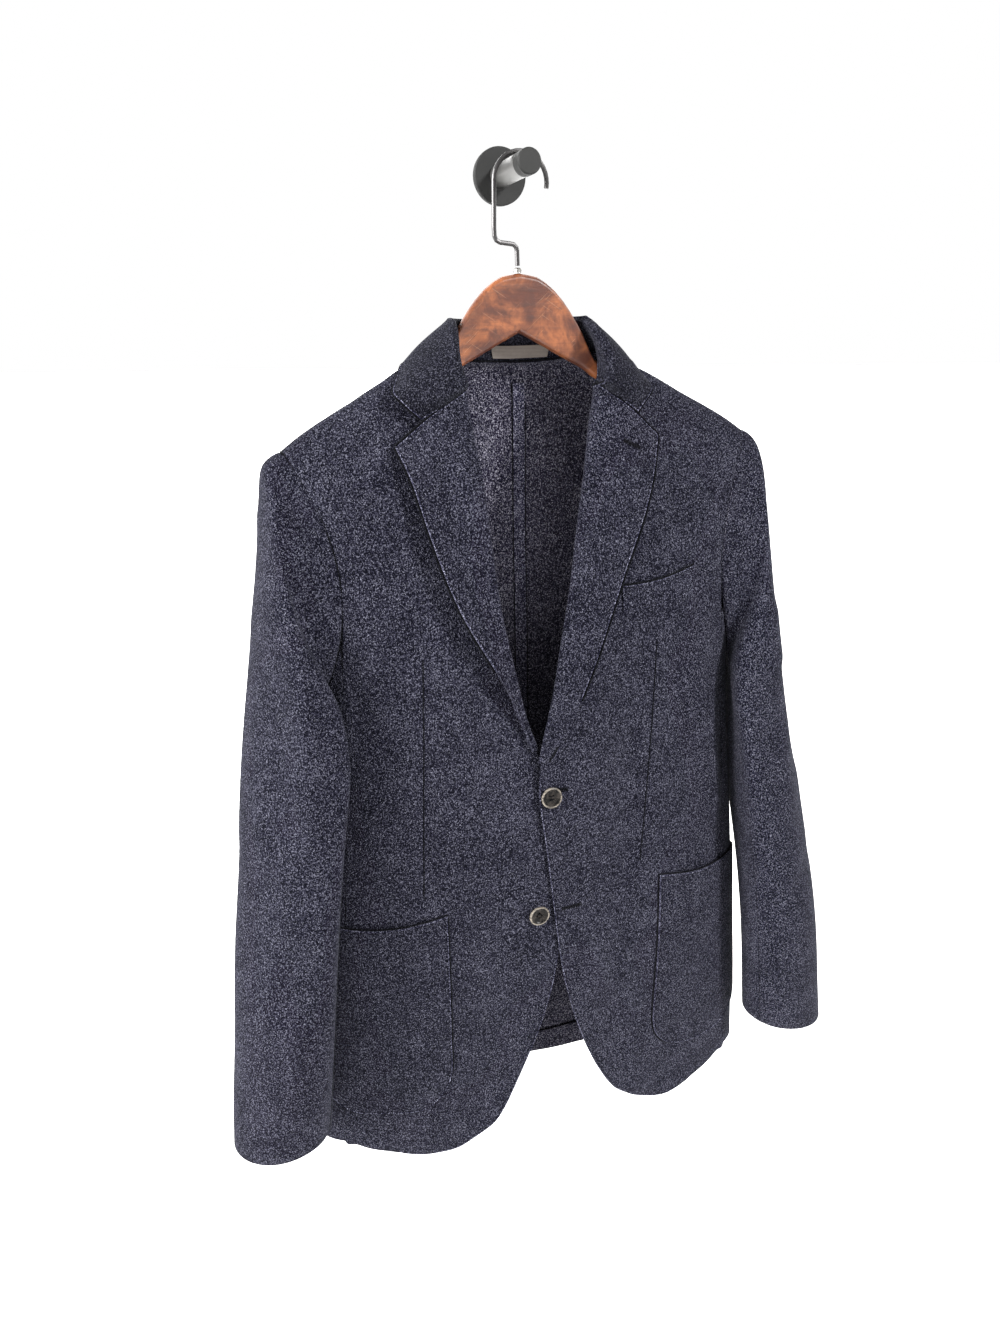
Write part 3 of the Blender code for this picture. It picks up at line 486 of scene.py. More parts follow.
# %% Strokes
FRONT_STROKES = (
    # from x, z, to x, z, width, height, all in metres
    # the near sleeve
    (-0.216, -0.262, -0.188, -0.302, 0.007, -0.0036),
    (-0.228, -0.275, -0.210, -0.325, 0.011, 0.0012),
    (-0.206, -0.315, -0.204, -0.350, 0.012, -0.0020),
    (-0.238, -0.386, -0.249, -0.546, 0.013, -0.0024),
    (-0.217, -0.410, -0.221, -0.530, 0.012, 0.0024),
    (-0.240, -0.640, -0.252, -0.700, 0.018, -0.0018),
    (-0.285, -0.440, -0.292, -0.560, 0.016, 0.0018),
    (-0.268, -0.580, -0.225, -0.608, 0.009, -0.0014),
    (-0.280, -0.700, -0.240, -0.740, 0.012, 0.0012),
    # the far sleeve
    (0.214, -0.262, 0.190, -0.300, 0.007, -0.0030),
    (0.233, -0.385, 0.243, -0.440, 0.014, 0.0020),
    (0.262, -0.400, 0.272, -0.550, 0.014, -0.0018),
    (0.245, -0.500, 0.250, -0.600, 0.012, 0.0016),
    (0.290, -0.640, 0.262, -0.680, 0.012, -0.0014),
    # the chest and the near front
    (-0.182, -0.447, -0.113, -0.447, 0.006, -0.0011),
    (-0.182, -0.470, -0.120, -0.468, 0.008, -0.0009),
    (-0.102, -0.380, -0.078, -0.477, 0.014, 0.0020),
    (-0.150, -0.520, -0.150, -0.620, 0.022, 0.0013),
    (-0.115, -0.490, -0.110, -0.590, 0.018, -0.0016),
    (-0.030, -0.540, -0.075, -0.560, 0.008, -0.0010),
    (-0.040, -0.545, -0.090, -0.600, 0.010, -0.0009),
    # the far front
    (0.077, -0.488, 0.083, -0.630, 0.016, -0.0024),
    (0.149, -0.415, 0.190, -0.600, 0.018, 0.0022),
    (0.009, -0.665, 0.046, -0.661, 0.005, -0.0010),
    (0.020, -0.677, 0.060, -0.673, 0.006, -0.0008),
    (0.070, -0.702, 0.074, -0.802, 0.012, -0.0016),
    (0.040, -0.430, 0.090, -0.420, 0.006, -0.0008),
    (0.020, -0.545, 0.065, -0.560, 0.007, -0.0010),
    (0.010, -0.550, 0.045, -0.600, 0.008, -0.0010),
    # the hem's slow wave
    (-0.130, -0.800, -0.125, -0.925, 0.020, 0.0018),
    (-0.060, -0.840, -0.090, -0.915, 0.018, -0.0016),
    (0.090, -0.840, 0.100, -0.915, 0.018, 0.0016),
    (0.150, -0.830, 0.150, -0.910, 0.018, -0.0016),
)
BACK_STROKES = (
    (-0.155, -0.220, -0.110, -0.340, 0.020, 0.0033),
    (0.150, -0.220, 0.118, -0.335, 0.022, 0.0030),
    (0.005, -0.190, 0.005, -0.880, 0.005, -0.0015),
    (-0.105, -0.450, -0.095, -0.800, 0.030, -0.0036),
    (0.112, -0.420, 0.100, -0.820, 0.028, -0.0033),
    (-0.165, -0.500, -0.185, -0.900, 0.025, 0.0033),
    (0.168, -0.480, 0.185, -0.900, 0.026, 0.0030),
    (-0.060, -0.580, 0.070, -0.588, 0.012, -0.0021),
    (-0.050, -0.610, 0.055, -0.606, 0.010, -0.0015),
    (-0.040, -0.800, -0.030, -0.915, 0.022, 0.0024),
    (0.060, -0.790, 0.070, -0.915, 0.022, 0.0021),
)
print(len(FRONT_STROKES), "strokes in front and", len(BACK_STROKES), "behind")

# %% [markdown]
# ## Moving the cloth by its strokes
# A point of the cloth is moved along its own normal by the sum of all the strokes near it. Low,
# slow noise keeps the panels from looking pressed flat. Both die away at a seam between pieces
# that face different ways, so that the seam stays shut.

# %% Dragging
def stroke_heights(points, strokes):
    """The sum of the strokes at each point, seen along Y."""
    total = np.zeros(len(points))
    flat = points[:, [0, 2]]
    for x_from, z_from, x_to, z_to, width, height in strokes:
        start, end = np.array([x_from, z_from]), np.array([x_to, z_to])
        along = end - start
        way = ((flat - start) @ along) / (along @ along)
        nearest = start + np.clip(way, 0, 1)[:, None] * along
        gap = np.linalg.norm(flat - nearest, axis=1) / width
        fade = np.clip(np.minimum(way, 1 - way) * 3.5 + 0.55, 0, 1)
        total += 1.5 * height * np.exp(-gap * gap) * fade * fade * (3 - 2 * fade)
    return total


def slow_noise(points, seed, size, height):
    """Sines in unlike directions, summed: a slow, repeatable unevenness."""
    chance = np.random.default_rng(seed)
    total = np.zeros(len(points))
    for _ in range(7):
        direction = chance.normal(size=3) * np.array([1.0, 0.8, 0.55])
        direction /= np.linalg.norm(direction)
        length = size * chance.uniform(0.6, 1.6)
        total += np.sin(points @ direction * math.tau / length + chance.uniform(0, 6.3))
    return total * height / 7 ** 0.5


def sewn_to_another(place, inwards):
    """True on the armholes, the shoulder, side and sleeve seams."""
    shoulder = place.z > -0.25 and inwards.z < -0.3
    return shoulder or abs(place.x) > 0.165 and not (inwards.z > 0.7 and place.z < -0.80)


def drag(piece, strokes, way=1):
    """Moves a skin's points along their normals by the strokes and the slow noise."""
    points, normals = points_of(piece.data), normals_of(piece.data)
    heights = stroke_heights(points, strokes) + slow_noise(points, 7, 0.11, 0.0009)
    if piece.name.split("_")[0] in ("front", "back", "side", "sleeve"):
        fade = 0.022 if "sleeve" in piece.name else 0.014
        heights *= ramp(border_gap(piece, sewn_to_another), 0, fade)
    put_points(piece.data, points + way * normals * heights[:, None])
    return piece

# %% [markdown]
# ## Lapels and collar
# A soft lapel is rolled and not pressed, so its outer edge stands off the chest and throws a
# shadow on it. The near lapel stands off most. The collar's two front corners are lifted a
# millimetre, just enough to part them from the cloth below.

# %% Lifted edges
LIFTED = {"lapel_right": 0.0085, "lapel_left": 0.0010}
COLLAR_LIFT = 0.0010


def outer_edge_of_lapel(place, inwards):
    return inwards.x * math.copysign(1, place.x) < 0.45 and abs(place.x) > 0.022


def lift_lapel(piece, height):
    """Lifts a lapel's outer edge off the chest, most half way down."""
    points = points_of(piece.data)
    near_edge = 1 - ramp(border_gap(piece, outer_edge_of_lapel), 0, 0.045)
    middle = ramp(-points[:, 2], 0.198, 0.25) * ramp(points[:, 2], -0.495, -0.40)
    points[:, 1] -= height * near_edge * middle
    put_points(piece.data, points)


def front_of_collar(place, inwards):
    return abs(place.x) > 0.056 and place.y < -0.060


def lift_collar(piece, height):
    """Lifts the collar's two front corners off the chest."""
    points, normals = points_of(piece.data), normals_of(piece.data)
    near_edge = 1 - ramp(border_gap(piece, front_of_collar), 0, 0.030)
    corner = ramp(np.abs(points[:, 0]), 0.099, 0.119)
    put_points(piece.data, points + normals * (height * near_edge * corner)[:, None])

# %% [markdown]
# ## The round hem of the fronts
# Below the low button the front edges part and sweep round into the hem. The near front drops
# most at the turn. The drop is spread over the cloth within 6 cm of the hem, then the border is
# evened out by moving every point towards the middle of its two neighbours, time after time,
# and the cloth beside it follows.

# %% Round hem
HEMS = {
    # how far the hem drops, and where along X it starts, is full, and ends
    "front_right": (0.0130, (-0.120, -0.086), (-0.044, -0.022)),
    "front_left": (0.0075, (0.030, 0.052), (0.150, 0.186)),
}


def hem_of_front(place, inwards):
    return place.z < -0.76 and inwards.z > 0.2 and abs(place.x) < 0.19


def round_hem(piece, drop, rise, fall):
    """Drops a front's hem a little and evens out its curve."""
    points = points_of(piece.data)
    near = 1 - ramp(border_gap(piece, hem_of_front), 0, 0.060)
    along = ramp(points[:, 0], *rise) * (1 - ramp(points[:, 0], *fall))
    points[:, 2] -= drop * near * along
    put_points(piece.data, points)
    skin = bmesh.new()
    skin.from_mesh(piece.data)
    hem = [v for v in skin.verts if v.is_boundary and v.co.z < -0.74 and abs(v.co.x) < 0.17]
    begun = {v: v.co.copy() for v in hem}
    for _ in range(50):
        middles = {}
        for v in hem:
            one, other = [edge.other_vert(v).co for edge in v.link_edges if edge.is_boundary]
            middles[v] = v.co.lerp((one + other) / 2, 0.5)
        for v, middle in middles.items():
            v.co = middle
    tree = KDTree(len(hem))
    for i, v in enumerate(hem):
        tree.insert(begun[v], i)
    tree.balance()
    for v in skin.verts:
        if not v.is_boundary:
            _, i, gap = tree.find(v.co)
            v.co += (hem[i].co - begun[hem[i]]) * float(1 - ramp(np.array(gap), 0, 0.030))
    skin.to_mesh(piece.data)
    skin.free()

# %% [markdown]
# ## One piece of cloth, from skin to sheet
# All the steps above, in order. The border is kept for the seams and stitches that come later.
# Then the solid it stands for is hidden, and the cloth is put in the frame.

# %% Cloth piece
BORDERS = {}


def cloth_piece(node, outward, strokes, levels, thickness,
                way=1, inner=None, outer=None, rim=None, reach=LET_OUT, turn=0.0005):
    """Makes a node's cloth, hides the node's solid and puts the cloth in the frame."""
    piece = smooth_skin(node + "_cloth", node, outward, levels)
    if node in HEMS:
        round_hem(piece, *HEMS[node])
    drag(piece, strokes, way)
    if node in LIFTED:
        lift_lapel(piece, LIFTED[node])
    if node == "collar":
        lift_collar(piece, COLLAR_LIFT)
    let_out(piece, reach)
    BORDERS[node] = border_of(piece)
    piece.data.materials.clear()
    piece.data.materials.append(outer or WOOL)
    piece.data.materials.append(inner or WOOL_INSIDE_PAINTED_LIGHT)
    piece.data.materials.append(rim or WOOL)
    give_wall(piece, thickness, turn)
    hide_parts(node)
    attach(piece, "root")
    return piece

# %% [markdown]
# ## Which way a skin faces
# The outer skin of a front looks forwards and that of a back looks backwards. A side panel
# wraps round the body, so its outer skin looks away from the middle of the jacket, and a
# sleeve's looks away from the line down the middle of the arm, which hangs outwards and
# forwards.

# %% Ways out
def forwards(centre):
    return Vector((0, -1, 0))


def backwards(centre):
    return Vector((0, 1, 0))


def out_of_torso(centre):
    return Vector((centre.x, centre.y + 0.07, 0))


def out_of_sleeve(centre):
    side = math.copysign(1, centre.x)
    down = -centre.z - 0.23
    return Vector((centre.x - side * (0.222 + 0.085 * down), centre.y + 0.075 + 0.07 * down, 0))

# %% [markdown]
# ## The panels
# A maker cuts two fronts, two side panels and two half backs, and sews them from the side seams
# to the shoulders. The sizes are those of the flat cut pieces with 10 mm for each seam and a 30
# mm hem, and the area is that of the shape inside them.

# %% Fronts, sides and backs
PANELS = (
    # node, way out, levels, flat size, flat area, hangs from
    ("front_left", forwards, 3, (0.272, 0.832), 0.1720, ["hanger_wood"]),
    ("front_right", forwards, 3, (0.272, 0.832), 0.1720, ["hanger_wood"]),
    ("side_left", out_of_torso, 3, (0.104, 0.566), 0.0545, ["sleeve_under_left"]),
    ("side_right", out_of_torso, 3, (0.104, 0.566), 0.0545, ["sleeve_under_right"]),
    ("back_left", backwards, 3, (0.256, 0.832), 0.1850, ["hanger_wood"]),
    ("back_right", backwards, 3, (0.256, 0.832), 0.1850, ["hanger_wood"]),
)
for node, way_out, levels, flat, area, rests_on in PANELS:
    strokes = BACK_STROKES if "back" in node else FRONT_STROKES
    made = cloth_piece(node, way_out, strokes, levels, WALL["wool"])
    print(made.name, len(made.data.polygons), "faces")

# %% [markdown]
# ## The sleeves
# A tailored sleeve has two pieces: a wide top sleeve and a narrow under sleeve, joined by two
# seams that stay out of sight at the front. Its head is a little longer than the armhole, so it
# rolls over the shoulder, and below it the sleeve hangs forward in a soft curve.

# %% Sleeves
SLEEVES = (
    ("sleeve_top_left", (0.236, 0.706), 0.1500, ["front_left", "back_left"]),
    ("sleeve_top_right", (0.236, 0.706), 0.1500, ["front_right", "back_right"]),
    ("sleeve_under_left", (0.118, 0.562), 0.0580, ["side_left", "back_left"]),
    ("sleeve_under_right", (0.118, 0.562), 0.0580, ["side_right", "back_right"]),
)
for node, flat, area, rests_on in SLEEVES:
    made = cloth_piece(node, out_of_sleeve, FRONT_STROKES, 3, WALL["wool"])
    print(made.name, len(made.data.polygons), "faces")

# %% [markdown]
# ## Lapels, collar, pockets and welt
# The lapel is the front's own edge turned back and faced with a second layer, so it is thicker
# and rolls without a press line. The collar rolls over its stand and covers the back neck seam.
# The pockets are bags with a rounded foot, sewn on by their edges, and the breast pocket shows
# only as its welt. All of them lie on other cloth, so they are cut a hair small, not let out.

# %% Turned and sewn on cloth
LAID_ON = (
    ("lapel_left", forwards, 3, "double", (0.138, 0.356), 0.0200, ["front_left"]),
    ("lapel_right", forwards, 3, "double", (0.130, 0.346), 0.0165, ["front_right"]),
    ("collar", None, 3, "double", (0.420, 0.110), 0.0340,
     ["back_left", "back_right", "front_left"]),
    ("pocket_left", forwards, 3, "wool", (0.148, 0.244), 0.0330, ["front_left", "side_left"]),
    ("pocket_right", forwards, 3, "wool", (0.148, 0.244), 0.0330, ["front_right", "side_right"]),
    ("breast_welt", forwards, 3, "wool", (0.086, 0.029), 0.0022, ["front_left"]),
)
# Their rims are the lightened edge wool, a painted highlight, and the collar's outer side is the
# darkened collar wool, painted shade.
for node, way_out, levels, wall, flat, area, rests_on in LAID_ON:
    made = cloth_piece(node, way_out, FRONT_STROKES if way_out else (), levels, WALL[wall],
                       inner=WOOL, rim=WOOL_EDGE_PAINTED_HIGHLIGHT, reach=-0.0002,
                       turn=0.0009 if wall == "double" else 0.0007,
                       outer=WOOL if way_out else WOOL_COLLAR_PAINTED_SHADE)
    print(made.name, len(made.data.polygons), "faces")

# %% [markdown]
# ## Binding and ribbon
# With no lining, the back's raw edges are covered by strips. The centre seam is bound in a
# lighter cut of the cloth, lightened further as painted light like the inside of the back. The
# hanging tape at the neck is a grey ribbon, which a wave pattern gives its fine crosswise ribs.

# %% Binding and ribbon
BINDING_WITH_PAINTED_LIGHT = wool("binding", (1.0, 0.98, 0.94), 2.4)

ribbon = Finish("ribbon", Roughness=0.6)
ribs = ribbon.node("ShaderNodeTexWave", {"bands_direction": "Z"}, {
    "Vector": ribbon.place, "Scale": 260.0, "Distortion": 0.6})
cloudy = ribbon.noise(300, 2.0)
tone = ribbon.mix(ribs * 0.5 + cloudy * 0.5, (0.055, 0.043, 0.035), (0.12, 0.100, 0.086))
RIBBON = ribbon.give(Base_Color=tone, Normal=ribbon.bump(ribs, 0.0003))

# %% [markdown]
# ## Strips inside the back
# The turned up hem, the bound seam and the hanging tape lie on the inside of the back, so they
# look forwards and follow the strokes of the back the other way round.

# %% Strips inside the back
INSIDE = (
    ("back_hem_band", (0.436, 0.028), 0.0118, ["back_left", "back_right"], 0.0012, "cloth"),
    ("back_seam_tape", (0.014, 0.730), 0.0100, ["back_left"], 0.0010, "binding"),
    ("neck_tape", (0.068, 0.012), 0.0008, ["collar"], 0.0010, "tape"),
)
for node, flat, area, rests_on, thickness, slot in INSIDE:
    # The hem band's inside wool and the binding are lightened as painted light.
    finish = {"cloth": WOOL_INSIDE_PAINTED_LIGHT, "binding": BINDING_WITH_PAINTED_LIGHT, "tape": RIBBON}[slot]
    made = cloth_piece(node, forwards, BACK_STROKES, 2, thickness,
                       way=-1, inner=finish, outer=finish)
    print(made.name, len(made.data.polygons), "faces")

# %% [markdown]
# ## One stitch, many places
# The edges are held flat by pick stitches: single dashes of dark thread, 2 mm inside the edge
# and about 5 mm apart, each one pulled into the cloth. One dash is modelled from a small
# sphere, and copied to a frame at each place, which lays it along the thread with its top out
# of the cloth.

# %% Dashes
def settle(piece):
    """Puts a new piece in the frame as a fixed part of the jacket."""
    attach(piece, "root")
    return piece


def dash(length, width):
    """The mesh of one stitch, lying along X with Z out of the cloth."""
    deselect()
    bpy.ops.mesh.primitive_uv_sphere_add(segments=6, ring_count=4, radius=0.5)
    made = bpy.context.object
    bpy.ops.object.mode_set(mode="EDIT")
    bpy.ops.mesh.select_all(action="SELECT")
    bpy.ops.transform.resize(value=(length, width, width * 0.8))
    bpy.ops.object.mode_set(mode="OBJECT")
    mesh = made.data
    bpy.data.objects.remove(made)
    return mesh


def frame_at(place, along, normal):
    """The matrix that lays a dash on the cloth."""
    x = along.normalized()
    z = (normal - x * normal.dot(x)).normalized()
    y = z.cross(x)
    return Matrix.Translation(place) @ Matrix((x, y, z)).transposed().to_4x4()


def row_of(name, shape, frames, finish=None):
    """One piece made of a small shape, copied to every frame."""
    row = bmesh.new()
    for frame_ in frames:
        copy = shape.copy()
        copy.transform(frame_)
        row.from_mesh(copy)
        bpy.data.meshes.remove(copy)
    mesh = bpy.data.meshes.new(name)
    row.to_mesh(mesh)
    row.free()
    mesh.materials.append(finish or THREAD_AND_PAINTED_SHADOW)
    mesh.shade_smooth()
    piece = bpy.data.objects.new(name, mesh)
    bpy.context.scene.collection.objects.link(piece)
    return settle(piece)

# %% [markdown]
# ## Where stitches go
# Most stitches follow a border, and a few follow a line drawn on the front of a piece. The
# first kind steps along the border at an even pace, and the second looks for the cloth straight
# behind each place on the line.

# %% Places for stitches
def along_border(node, keep, inside, step):
    """Frames along a skin's border where keep(place, inwards) is true."""
    frames = []
    for ring in BORDERS[node]:
        due = 0.0
        for place, along, inwards, normal in ring:
            length = along.length
            while due < length:
                if keep(place, inwards):
                    spot = place + along * (due / length) + inwards * inside
                    frames.append(frame_at(spot, along, normal))
                due += step
            due -= length
    return frames


def on_cloth(node, x, z):
    """Where a level line towards the wall meets a piece, and the normal there."""
    hit, place, normal, _ = bpy.data.objects[node + "_cloth"].ray_cast((x, -0.4, z), (0, 1, 0))
    if not hit:
        raise ValueError(f"{node} isn't behind {x}, {z}")
    return place, normal

# %% [markdown]
# ## Which part of a border
# Each rule looks at a place on a border and the way inwards from it, and says whether the
# stitch, the seam or the rolled edge belongs there.

# %% Parts of a border
def everywhere(place, inwards):
    return True


def sewn(place, inwards):
    return not (inwards.z > 0.7 and place.z < -0.80)


def front_edge(place, inwards):
    return place.z < -0.52 and abs(place.x) < 0.150 and (abs(inwards.x) > 0.3 or inwards.z > 0.6)


def upright_edges(place, inwards):
    return abs(inwards.x) > 0.6


def armhole(place, inwards):
    return in_armhole(place) > 0


def mouth(place, inwards):
    return inwards.z < -0.5


def but_its_left_end(place, inwards):
    return inwards.x < 0.5

# %% [markdown]
# ## Pick stitches
# They run along the lapels, the collar, the front edges, the patch pockets and the welt, where
# a tailor sews them by hand to keep the layers together.

# %% Pick stitches
PICK_STEP = 0.0056  # from one stitch to the next
stitch = dash(0.0026, 0.0007)
PICKED = (
    ("lapel_left", outer_edge_of_lapel, 0.0022),
    ("lapel_right", outer_edge_of_lapel, 0.0022),
    ("collar", front_of_collar, 0.0022),
    ("front_left", front_edge, 0.0024),
    ("front_right", front_edge, 0.0024),
    ("pocket_left", everywhere, 0.0022),
    ("pocket_right", everywhere, 0.0022),
    ("breast_welt", but_its_left_end, 0.0018),
)
for node, keep, inside in PICKED:
    frames = along_border(node, keep, inside, PICK_STEP)
    row_of(node + "_stitches", stitch, frames)
    print(node, "has", len(frames), "pick stitches")

# %% [markdown]
# ## Cords of thread
# A seam shows as one fine dark line, and so does the gap under a lifted edge, as painted
# shadow. A rolled edge shows as a fine light one, a painted highlight. All are made as a curve
# with a round bevel, no thicker than a millimetre or so, through places on the cloth, and
# turned into a mesh.

# %% Cords
def cord(name, runs, radius, finish=THREAD_AND_PAINTED_SHADOW):
    """A fine cord through each run of places."""
    curve = bpy.data.curves.new(name, "CURVE")
    curve.dimensions = "3D"
    curve.bevel_depth = radius
    curve.bevel_resolution = 1
    curve.use_fill_caps = True
    for run in runs:
        line = curve.splines.new("POLY")
        line.points.add(len(run) - 1)
        for point, place in zip(line.points, run):
            point.co = (*place, 1)
    made = bpy.data.objects.new(name, curve)
    bpy.context.scene.collection.objects.link(made)
    make_active(made)
    bpy.ops.object.convert(target="MESH")
    made = bpy.context.object
    made.data.materials.clear()
    made.data.materials.append(finish)
    made.data.shade_smooth()
    return settle(made)


def thread_line(name, node, path, radius, steps=24):
    """A cord laid half into the cloth along a path of x and z."""
    spots = [(a[0] + (b[0] - a[0]) * i / steps, a[1] + (b[1] - a[1]) * i / steps)
             for a, b in zip(path, path[1:]) for i in range(steps)] + [path[-1]]
    return cord(name, [[on_cloth(node, x, z)[0] for x, z in spots]], radius)


def border_runs(node, keep, inside, sink):
    """The stretches of a skin's border where keep(place, inwards) is true."""
    runs = []
    for ring in BORDERS[node]:
        run = []
        for place, _, inwards, normal in ring + ring[:1]:
            if keep(place, inwards):
                run.append(place + inwards * inside - normal * sink)
            else:
                runs.append(run)
                run = []
        runs.append(run)
    return [run for run in runs if len(run) > 1]

# %% [markdown]
# ## Darts
# A dart takes a wedge of cloth out below the chest, so that the front curves. It is a seam that
# ends in the cloth at both ends, laid half into it.

# %% Darts
DARTS = (
    ("dart_right", "front_right", ((-0.115, -0.400), (-0.118, -0.500), (-0.122, -0.624))),
    ("dart_left", "front_left", ((0.107, -0.403), (0.102, -0.500), (0.095, -0.623))),
)
for name, node, path in DARTS:
    thread_line(name, node, path, 0.0006)
    print(name, "from", path[0], "to", path[-1])

# %% [markdown]
# ## Seams
# A seam pulls the cloth down into a narrow groove with the thread at its bottom. A cord of
# thread, sunk into the groove, runs along each panel's sewn edges and beside the strips inside
# the back. Dark cords of the same finish lie just outside the edges of lapels, collar, pockets
# and welt: where those edges are sewn they are seams, and along free edges, at the notch and in
# the welt's mouth they are painted shadow. Under the near lapel the cord is thick and deep, a
# painted shadow in the gap below the roll. The seam of the armhole lies highest, where the
# sleeve's head is eased in.

# %% Seams
SEAMS = (
    # name, node, keep, inside, sink, radius
    ("sleeve_top_left_seam", "sleeve_top_left", sewn, 0.0002, 0.0003, 0.0008),
    ("sleeve_top_right_seam", "sleeve_top_right", sewn, 0.0002, 0.0003, 0.0008),
    ("sleeve_under_left_seam", "sleeve_under_left", sewn, 0.0002, 0.0006, 0.0007),
    ("sleeve_under_right_seam", "sleeve_under_right", sewn, 0.0002, 0.0006, 0.0007),
    ("side_left_seam", "side_left", sewn, 0.0003, 0.0007, 0.0007),
    ("side_right_seam", "side_right", sewn, 0.0003, 0.0007, 0.0007),
    ("back_left_seam", "back_left", sewn, 0.0003, 0.0007, 0.0006),
    ("back_right_seam", "back_right", sewn, 0.0003, 0.0007, 0.0006),
    # The cords below lie just outside laid-on edges: painted shadow along free edges, seams as
    # well along sewn ones.
    ("lapel_left_seam", "lapel_left", outer_edge_of_lapel, -0.0018, 0.0012, 0.0012),
    ("lapel_right_seam", "lapel_right", outer_edge_of_lapel, -0.0006, 0.0034, 0.0014),
    ("lapel_right_top", "lapel_right", mouth, -0.0012, 0.0004, 0.0011),
    ("lapel_left_top", "lapel_left", mouth, -0.0012, 0.0004, 0.0010),
    ("collar_seam", "collar", everywhere, -0.0010, 0.0004, 0.0009),
    ("pocket_left_seam", "pocket_left", everywhere, -0.0009, 0.0017, 0.0007),
    ("pocket_right_seam", "pocket_right", everywhere, -0.0009, 0.0016, 0.0009),
    ("breast_welt_seam", "breast_welt", mouth, -0.0008, 0.0010, 0.0010),
    ("back_seam_tape_seam", "back_seam_tape", upright_edges, -0.0004, 0.0004, 0.0006),
    ("back_hem_band_seam", "back_hem_band", everywhere, -0.0004, 0.0004, 0.0005),
)
for name, node, keep, inside, sink, radius in SEAMS:
    runs = border_runs(node, keep, inside, sink)
    cord(name, runs, radius)
    print(name, "has", len(runs), "runs")
for side in ("left", "right"):
    cord("armhole_" + side, border_runs("sleeve_top_" + side, armhole, -0.0002, -0.0003), 0.0010)

# %% [markdown]
# ## Rolled edges
# Along a free edge, the turned cloth makes a thin roll whose fibres stand up and catch the light.
# A cord of the lightened edge wool lies along it, a painted highlight for that light.

# %% Rolled edges
ROLLED = (
    ("lapel_left", outer_edge_of_lapel),
    ("lapel_right", outer_edge_of_lapel),
    ("collar", front_of_collar),
    ("pocket_left", everywhere),
    ("pocket_right", everywhere),
    ("breast_welt", mouth),
    ("front_left", front_edge),
    ("front_right", front_edge),
)
# Each cord is a painted highlight, in the lightened edge wool.
for node, keep in ROLLED:
    cord(node + "_edge", border_runs(node, keep, 0.0006, 0.0001), 0.0006, WOOL_EDGE_PAINTED_HIGHLIGHT)

# %% [markdown]
# ## Buttonholes
# A buttonhole is worked over a slit with a thick thread. The same kind of dash is laid across
# the slit, side by side, in two rows, and a thin cord of dark thread between them is painted
# shade in the slit. The third one, in the lapel, has no button.

# %% Buttonholes
PURL_STEP, PURL_REACH = 0.00095, 0.0012  # along the slit, and across it to each row
purl = dash(0.0024, 0.0009)
BUTTONHOLES = (
    # name, cloth, from x, z, to x, z
    ("buttonhole_top", "front_left", -0.009, -0.5300, 0.0135, -0.5310),
    ("buttonhole_low", "front_left", 0.0105, -0.6568, 0.0305, -0.6556),
    ("buttonhole_lapel", "lapel_left", 0.0770, -0.2228, 0.0925, -0.2300),
)
for name, node, x_from, z_from, x_to, z_to in BUTTONHOLES:
    length = math.hypot(x_to - x_from, z_to - z_from)
    slit = Vector((x_to - x_from, 0, z_to - z_from)).normalized()
    count = round(length / PURL_STEP)
    frames = []
    for i in range(count + 1):
        share = i / count
        x = x_from + share * (x_to - x_from)
        z = z_from + share * (z_to - z_from)
        place, normal = on_cloth(node, x, z)
        across = normal.cross(slit)
        for side in (-1, 1):
            frames.append(frame_at(place + across * side * PURL_REACH, across, normal))
    row_of(name, purl, frames)
    # The slit's cord is painted shade in the gap between the rows.
    thread_line(name + "_slit", node, ((x_from, z_from), (x_to, z_to)), 0.0005, 12)
    print(name, "has", len(frames), "stitches")

# %% [markdown]
# ## Horn
# The buttons are smoky horn, sawn from a plate and turned: pale and streaked at the rim, dark
# and glossy in the dish. The distance from the button's centre tells rim from dish, and cloudy
# noise makes the line between them uneven, as in real horn.

# %% Horn
def horn(name, centre):
    finish = Finish(name, Roughness=0.30)
    finish.shader.inputs["Specular IOR Level"].default_value = 0.09
    maths = "ShaderNodeVectorMath"
    offset = finish.node(maths, {"operation": "SUBTRACT"}, {0: finish.place, 1: centre})
    reach = finish.node(maths, {"operation": "LENGTH"}, {0: offset}, "Value")
    clouds = finish.noise(130, 4.0, 0.65, warp=1.6)
    streaks = finish.noise(420, 3.0, 0.6, finish.stretched(0.25, 1.0, 1.0), warp=0.5)
    ring = (reach * 1000 + clouds * 1.6).between(8.9, 10.1)
    dish = finish.mix(clouds.between(0.40, 0.66), (0.0015, 0.0013, 0.0013), (0.018, 0.015, 0.013))
    edge = finish.mix(streaks.between(0.35, 0.62), (0.040, 0.035, 0.030), (0.165, 0.146, 0.122))
    return finish.give(
        Base_Color=finish.mix(ring, dish, edge),
        Roughness=0.22 + streaks * 0.22,
        Normal=finish.bump(streaks, 0.00012),
    )

# %% [markdown]
# ## Buttons
# The turned shape and its four holes are in the frame. What is left is the thread: two bars of
# it over the middle, each from hole to hole. The button's flattest direction, found from its
# points, says which way it faces.

